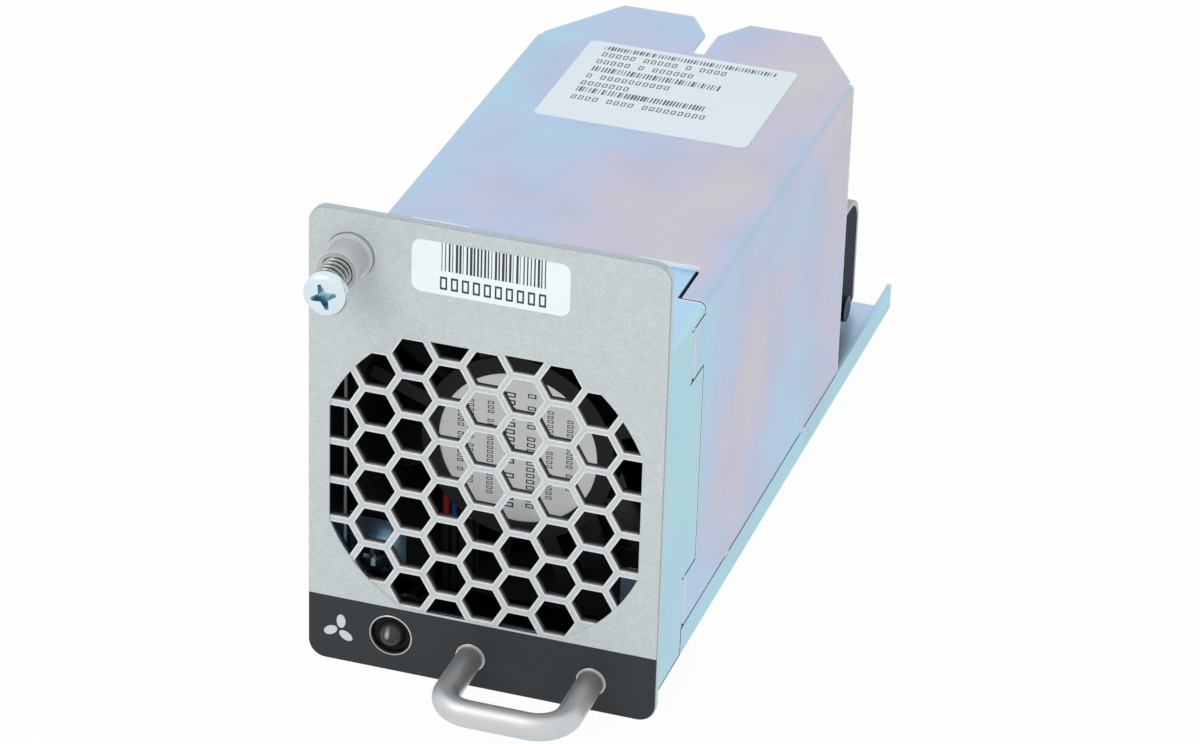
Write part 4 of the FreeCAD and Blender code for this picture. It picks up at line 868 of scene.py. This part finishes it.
class FANMODULE_OT_status_light(bpy.types.Operator):
    """Finish the status light and its holder, and ring it with bright metal"""

    bl_idname = "fan_module.status_light"
    bl_label = "Status light"

    def execute(self, context):
        dress(moulded("holder_black", tints().black_plastic_and_shade, 0.5, shine=0.1), "light_holder")
        dress(smoked_lens(), "status_light")
        mesh = bmesh.new()
        ring = (3.93, 0.28), (3.93, 0.04), (3.86, -0.03), (3.70, -0.03), (3.52, 0.10), (3.48, 0.28)
        lathe(mesh, middle("light_holder"), outline(ring, 0, FILM_FACE), closed=True)
        piece("light_bezel", mesh, self.bezel_finish(), "module")
        return {"FINISHED"}

    def bezel_finish(self):
        """A thin bright rim round a black throat."""
        t, finish = tints(), Finish("bezel")
        rim = finish.distance(middle("light_holder")) > BEZEL_THROAT
        grain = finish.noise(2200)
        steel = finish.mix(grain, *shades(t.satin_steel, 0.1))
        return finish.surface(base_color=finish.mix(rim, t.black_plastic_and_shade, steel), metallic=rim,
                              roughness=0.30 + grain * 0.1)


class FANMODULE_OT_pull_handle(bpy.types.Operator):
    """Finish the bent rod and ring its legs with the bare edge of the panel"""

    bl_idname = "fan_module.pull_handle"
    bl_label = "Pull handle"

    def bloomed_satin(self):
        """Satin metal with a faint bloom of blue, rose and straw, longer along the rod than across."""
        t, finish = tints(), Finish("handle_satin")
        grain = finish.noise(2600, detail=3)
        bloom = finish.noise(150, stretch=(0.5, 1, 1))
        base = finish.ramp(bloom, (0.36, t.bloom_blue), (0.46, t.satin_aluminium), (0.54, t.bloom_rose),
                           (0.64, t.bloom_straw))
        return finish.surface(base_color=base, metallic=1.0, roughness=0.42 + grain * 0.12,
                              normal=finish.bump(grain, 0.01 * MM, 0.3))

    def execute(self, context):
        dress(self.bloomed_satin(), "pull_handle")
        low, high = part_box("pull_handle")
        rod = (high.z - low.z) / 2
        collar = outline([(0.03, 0.29), (0.03, 0.02), (0.30, -0.06), (0.34, 0.29)], rod, FILM_FACE)
        mesh = bmesh.new()
        for x in (low.x + rod, high.x - rod):
            lathe(mesh, Vector((x, 0, (low.z + high.z) / 2)), collar, steps=48, closed=True)
        bright = metal("collar_bright", tints().collar_bright, 0.28)
        piece("handle_collars", mesh, bright, "module")
        return {"FINISHED"}


class FANMODULE_OT_captive_screw(bpy.types.Operator):
    """Turn the captive screw with its thread and driver recess, and wind its spring"""

    bl_idname = "fan_module.captive_screw"
    bl_label = "Captive screw"

    def execute(self, context):
        t, s = tints(), sizes()
        dress(metal("ferrule_satin", t.ferrule_grey, 0.42, spread=0.06, metallic=0.45, worn=0.5 * MM),
              "captive_ferrule")
        dress(metal("ring_satin", t.satin_steel, 0.30, spread=0.05), "captive_ring")
        self.turn_screw(metal("screw_zinc", t.bright_zinc, 0.26, 900, spread=0.12, hollow=self.recess_shade_mask), s)
        self.wind_spring(metal("spring_wire", t.spring_steel, 0.24, spread=0.1), s)
        return {"FINISHED"}

    def turn_screw(self, zinc, s):
        low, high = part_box("captive_screw")
        axis, head = (low + high) / 2, (high.x - low.x) / 2
        top, seat, end = low.y, low.y + s.head_height, high.y
        start = end - s.thread_length
        core = s.shank_radius
        mesh = bmesh.new()
        dome = (0, 0), (0.62, 0.03), (0.80, 0.14), (0.92, 0.38), (0.985, 0.75), (1, 1.1)
        lathe(mesh, axis, [(share * head, top + drop * MM) for share, drop in dome] + [
            (head, seat - 0.12 * MM), (head - 0.12 * MM, seat), (core, seat), (core, end - 0.3 * MM),
            (core - 0.3 * MM, end), (0, end)])
        screw = piece("captive_screw_detail", mesh, zinc, "captive_screw")
        cut(screw, self.recess(axis, top, s))
        screw.data.set_sharp_from_angle(angle=CREASE)
        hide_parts("captive_screw")
        self.cut_thread(zinc, axis, start, s)

    def cut_thread(self, zinc, axis, start, s):
        root, crest = s.shank_radius + THREAD_ROOT, s.shank_radius + THREAD_CREST
        mesh = bmesh.new()
        foot = [(root, start), (crest, start + s.thread_pitch / 2), (root, start + s.thread_pitch)]
        rim = [mesh.verts.new((axis.x + radius, y, axis.z)) for radius, y in foot]
        profile = [mesh.edges.new((rim[k], rim[(k + 1) % 3])) for k in range(3)]
        turns = (s.thread_length - 1.5 * s.thread_pitch) / s.thread_pitch
        helix(mesh, profile, axis, turns * s.thread_pitch, turns)
        piece("captive_thread", mesh, zinc, "captive_screw")

    def recess_shade_mask(self, finish):
        """1 on the walls of the driver recess, which lie just under the top of the head; shade is painted
        there.
        """
        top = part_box("captive_screw")[0].y
        depth = finish.within(finish.y, top + 0.12 * MM, top + sizes().recess_depth + 0.2 * MM)
        return depth * (finish.distance(middle("captive_screw")) < 0.8 * sizes().recess_reach)

    def recess(self, axis, top, s):
        """A tapering cross, to be cut out of the head."""
        far, near, core = s.recess_reach, s.recess_width, s.recess_core
        quarter = [(near, far), (core, core), (far, near)]
        corners = [(x * across, z * up)
                   for across, up, run in ((1, 1, 1), (1, -1, -1), (-1, -1, 1), (-1, 1, -1))
                   for x, z in quarter[::run]]
        mesh = bmesh.new()
        cross = mesh.faces.new([mesh.verts.new((x, -s.recess_depth, z)) for x, z in corners])
        deep = extrude(mesh, [cross])
        bmesh.ops.scale(mesh, vec=(0.5, 1, 0.5), verts=deep)
        bmesh.ops.translate(mesh, vec=(0, 2 * s.recess_depth, 0), verts=deep)
        turn(mesh, mesh.verts, s.recess_turn, "Y")
        bmesh.ops.translate(mesh, vec=(axis.x, top, axis.z), verts=mesh.verts)
        bmesh.ops.recalc_face_normals(mesh, faces=mesh.faces)
        return settled(mesh, "recess")

    def wind_spring(self, wire, s):
        centre = middle("captive_ferrule")
        low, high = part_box("captive_spring")
        reach, seat = (high.x - low.x) / 2 - s.spring_wire, high.y
        mesh = bmesh.new()
        made = bmesh.ops.create_circle(mesh, segments=10, radius=s.spring_wire)["verts"]
        bmesh.ops.translate(mesh, vec=(centre.x + reach, low.y + s.spring_wire, centre.z), verts=made)
        helix(mesh, mesh.edges[:], centre, high.y - low.y - 2 * s.spring_wire, s.spring_turns)
        spring = piece("captive_coil", mesh, wire, "module")
        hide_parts("captive_spring")
        travel = next(j for j in frame["joints"] if j["name"] == "captive_push")["range_m"][1]
        1 - travel / (high.y - low.y)
        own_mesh(spring)


class FANMODULE_OT_fans(bpy.types.Operator):
    """Finish the moulded fan frames and blades, and the bolts that hold the fans"""

    bl_idname = "fan_module.fans"
    bl_label = "Fans"

    def execute(self, context):
        t = tints()
        dress(moulded("fan_plastic", t.black_plastic_and_shade, 0.44, shine=0.3), *fan_parts("frame", "spider"))
        dress(moulded("blade_plastic", t.blade_black, 0.38, shine=0.3), *fan_parts("cup", "blades"))
        dress(metal("fastener_zinc", t.bright_zinc, 0.28, 900, spread=0.12),
              "fan_bolts", "fan_nuts", "handle_screws")
        dress(metal("board_screw_zinc", t.screw_black, 0.36, 900, spread=0.12), "board_screws")
        return {"FINISHED"}


class FANMODULE_OT_motors(bpy.types.Operator):
    """Finish the parts inside the motors"""

    bl_idname = "fan_module.motors"
    bl_label = "Motors"

    def execute(self, context):
        t = tints()
        dress(metal("motor_iron", t.dull_steel, 0.42), *fan_parts("rotor_yoke", "stator_core"))
        dress(metal("ground_steel", t.satin_steel, 0.18), *fan_parts("shaft", "shaft_clip", "bearings"))
        dress(metal("tube_brass", t.brass, 0.30), *fan_parts("bearing_tube"))
        dress(moulded("magnet_bonded", t.magnet_black, 0.6), *fan_parts("magnet"))
        dress(wound_copper(), *fan_parts("coils"))
        for board in fan_parts("motor_board"):
            low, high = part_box(board)
            dress(circuit_board(board.replace("motor_", "") + "_mask", "y", (low.y, high.y)), board)
        return {"FINISHED"}


class FANMODULE_OT_wiring(bpy.types.Operator):
    """Give each lead a jacket of its own colour, and finish the plugs"""

    bl_idname = "fan_module.wiring"
    bl_label = "Wiring"

    def execute(self, context):
        t = tints()
        jackets = [wire_jacket("jacket_" + name, getattr(t, "wire_" + name))
                   for name in ("red", "blue", "black", "yellow")]
        for node in (*fan_parts("leads"), "light_leads"):
            wires = self.colour_wires(node, jackets)
            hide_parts(node)
        dress(moulded("plug_nylon", t.nylon, 0.45, 0.05), "light_plug", "board_headers", *fan_parts("plug"))
        return {"FINISHED"}

    def colour_wires(self, node, jackets):
        """Copy a bundle of leads, with a jacket for each lead in order from left to right."""
        mesh = bmesh.new()
        mesh.from_mesh(frame["nodes"][node].data)
        bmesh.ops.remove_doubles(mesh, verts=mesh.verts, dist=WELD)
        leads = sorted(self.islands(mesh), key=lambda faces: min(v.co.x for face in faces for v in face.verts))
        for index, faces in enumerate(leads):
            for face in faces:
                face.material_index = index
        wires = piece(node + "_jackets", mesh, jackets[0], "module")
        for jacket in jackets[1:len(leads)]:
            wires.data.materials.append(jacket)
        return wires

    def islands(self, mesh):
        """The faces of each separate shell."""
        left, found = set(mesh.faces), []
        while left:
            shell, edge = set(), [next(iter(left))]
            while edge:
                face = edge.pop()
                if face not in shell:
                    shell.add(face)
                    edge.extend(other for side in face.edges for other in side.link_faces)
            left -= shell
            found.append(shell)
        return found


class FANMODULE_OT_connector_board(bpy.types.Operator):
    """Finish the board at the rear and its contact fingers"""

    bl_idname = "fan_module.connector_board"
    bl_label = "Connector board"

    def execute(self, context):
        low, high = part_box("connector_board")
        radius = sizes().board_corner
        corner = high.y - radius, high.z - radius, radius
        dress(circuit_board("connector_mask", "x", (low.x, high.x), corner), "connector_board")
        dress(metal("finger_gold", tints().gold, 0.24), "contact_fingers")
        return {"FINISHED"}


class FANMODULE_OT_studio(bpy.types.Operator):
    """Lay the floor, hang the lamps and set the camera"""

    bl_idname = "fan_module.studio"
    bl_label = "Studio"

    def execute(self, context):
        studio, scene = context.scene.fan_module_studio, context.scene
        scene.view_settings.view_transform = "Standard"
        self.lay_floor(studio)
        self.light_world(scene, studio)
        self.hang_lamp("key_lamp", studio.key_power, (-0.55, -0.55, 0.95), 0.7)
        self.hang_lamp("fill_lamp", studio.fill_power, (0.95, -0.35, 0.45), 0.6, glare=False)
        self.hang_lamp("front_lamp", studio.front_power, (-0.18, -1.05, 0.62), 0.5, glare=False)
        self.set_camera(scene, studio)
        return {"FINISHED"}

    def backdrop_rays(self, sketch):
        """1 for rays from the camera and in reflections, which see the plain white backdrop."""
        rays = [sketch.add("ShaderNodeLightPath", output=name)
                for name in ("Is Camera Ray", "Is Glossy Ray", "Is Transmission Ray")]
        return sketch.add("ShaderNodeClamp", sockets={"Value": rays[0] + rays[1] + rays[2]})

    def lay_floor(self, studio):
        mesh = bmesh.new()
        bmesh.ops.create_grid(mesh, x_segments=1, y_segments=1, size=FLOOR_REACH)
        floor = placed("floor", settled(mesh, "floor"))
        finish = Finish("floor_pale")
        finish.surface(base_color=tints().floor, roughness=0.8, specular_ior_level=0.1)
        white = finish.add("ShaderNodeEmission")
        lift = self.backdrop_rays(finish) * studio.floor_glow
        pale = Flow(finish, finish.shader.outputs[0])
        blend = finish.add("ShaderNodeMixShader", sockets={0: lift, 1: pale, 2: white})
        finish.feed(finish.tree.nodes["Material Output"].inputs["Surface"], blend)
        floor.data.materials.append(finish.material)

    def light_world(self, scene, studio):
        scene.world = bpy.data.worlds.new("studio")
        scene.world.use_nodes = True
        sketch = Sketch(scene.world.node_tree)
        sketch.tree.nodes.clear()
        ambient, white = (
            sketch.add("ShaderNodeBackground", sockets={"Color": (1, 1, 1, 1), "Strength": strength})
            for strength in (studio.ambient, 1.0))
        blend = sketch.add("ShaderNodeMixShader", sockets={0: self.backdrop_rays(sketch), 1: ambient, 2: white})
        output = sketch.tree.nodes.new("ShaderNodeOutputWorld")
        sketch.feed(output.inputs["Surface"], blend)

    def hang_lamp(self, name, watts, place, size, glare=True):
        """A soft square lamp that looks at the sleeve, and shows in glossy faces where it may glare."""
        lamp = bpy.data.lights.new(name, "AREA")
        lamp.energy, lamp.size = watts, size
        item = placed(name, lamp)
        item.location = place
        item.visible_glossy = glare
        item.rotation_euler = (middle("sleeve_cover") - Vector(place)).to_track_quat("-Z", "Y").to_euler()

    def set_camera(self, scene, studio):
        camera = bpy.data.cameras.new("photo_view")
        camera.lens, camera.sensor_width, camera.clip_start = studio.lens, SENSOR_WIDTH, NEAREST
        item = placed("photo_view", camera)
        aim = (Matrix.Rotation(studio.azimuth, 3, "Z")
               @ Matrix.Rotation(math.pi / 2 - studio.elevation, 3, "X")
               @ Matrix.Rotation(studio.roll, 3, "Z"))
        item.rotation_euler = aim.to_euler()
        item.location = studio.eye
        scene.camera = item


OPERATORS = (
    FANMODULE_OT_studio, FANMODULE_OT_sheet_metal, FANMODULE_OT_front_panel, FANMODULE_OT_labels,
    FANMODULE_OT_band_icon, FANMODULE_OT_status_light, FANMODULE_OT_pull_handle, FANMODULE_OT_captive_screw,
    FANMODULE_OT_fans, FANMODULE_OT_motors, FANMODULE_OT_wiring, FANMODULE_OT_connector_board,
)
SETTINGS = {"fan_module_tints": FanModuleTints, "fan_module_sizes": FanModuleSizes,
            "fan_module_studio": FanModuleStudio}


class FANMODULE_PT_looks(bpy.types.Panel):
    """The pieces and settings of the fan module"""

    bl_idname = "FANMODULE_PT_looks"
    bl_label = "Fan Module"
    bl_space_type = "VIEW_3D"
    bl_region_type = "UI"
    bl_category = "Fan Module"

    def draw(self, context):
        for operator in OPERATORS:
            self.layout.operator(operator.bl_idname)
        for name, group in SETTINGS.items():
            box = self.layout.box()
            box.label(text=group.__doc__)
            for key in group.__annotations__:
                box.prop(getattr(context.scene, name), key)


def register():
    for item in (*SETTINGS.values(), *OPERATORS, FANMODULE_PT_looks):
        bpy.utils.register_class(item)
    for name, group in SETTINGS.items():
        setattr(bpy.types.Scene, name, PointerProperty(type=group))


def unregister():
    for name in SETTINGS:
        delattr(bpy.types.Scene, name)
    for item in (FANMODULE_PT_looks, *reversed(OPERATORS), *reversed(list(SETTINGS.values()))):
        bpy.utils.unregister_class(item)


def main():
    register()
    bpy.ops.fan_module.studio()
    bpy.ops.fan_module.sheet_metal()
    bpy.ops.fan_module.front_panel()
    bpy.ops.fan_module.labels()
    bpy.ops.fan_module.band_icon()
    bpy.ops.fan_module.status_light()
    bpy.ops.fan_module.pull_handle()
    bpy.ops.fan_module.captive_screw()
    bpy.ops.fan_module.fans()
    bpy.ops.fan_module.motors()
    bpy.ops.fan_module.wiring()
    bpy.ops.fan_module.connector_board()


if __name__ == "__main__":
    main()
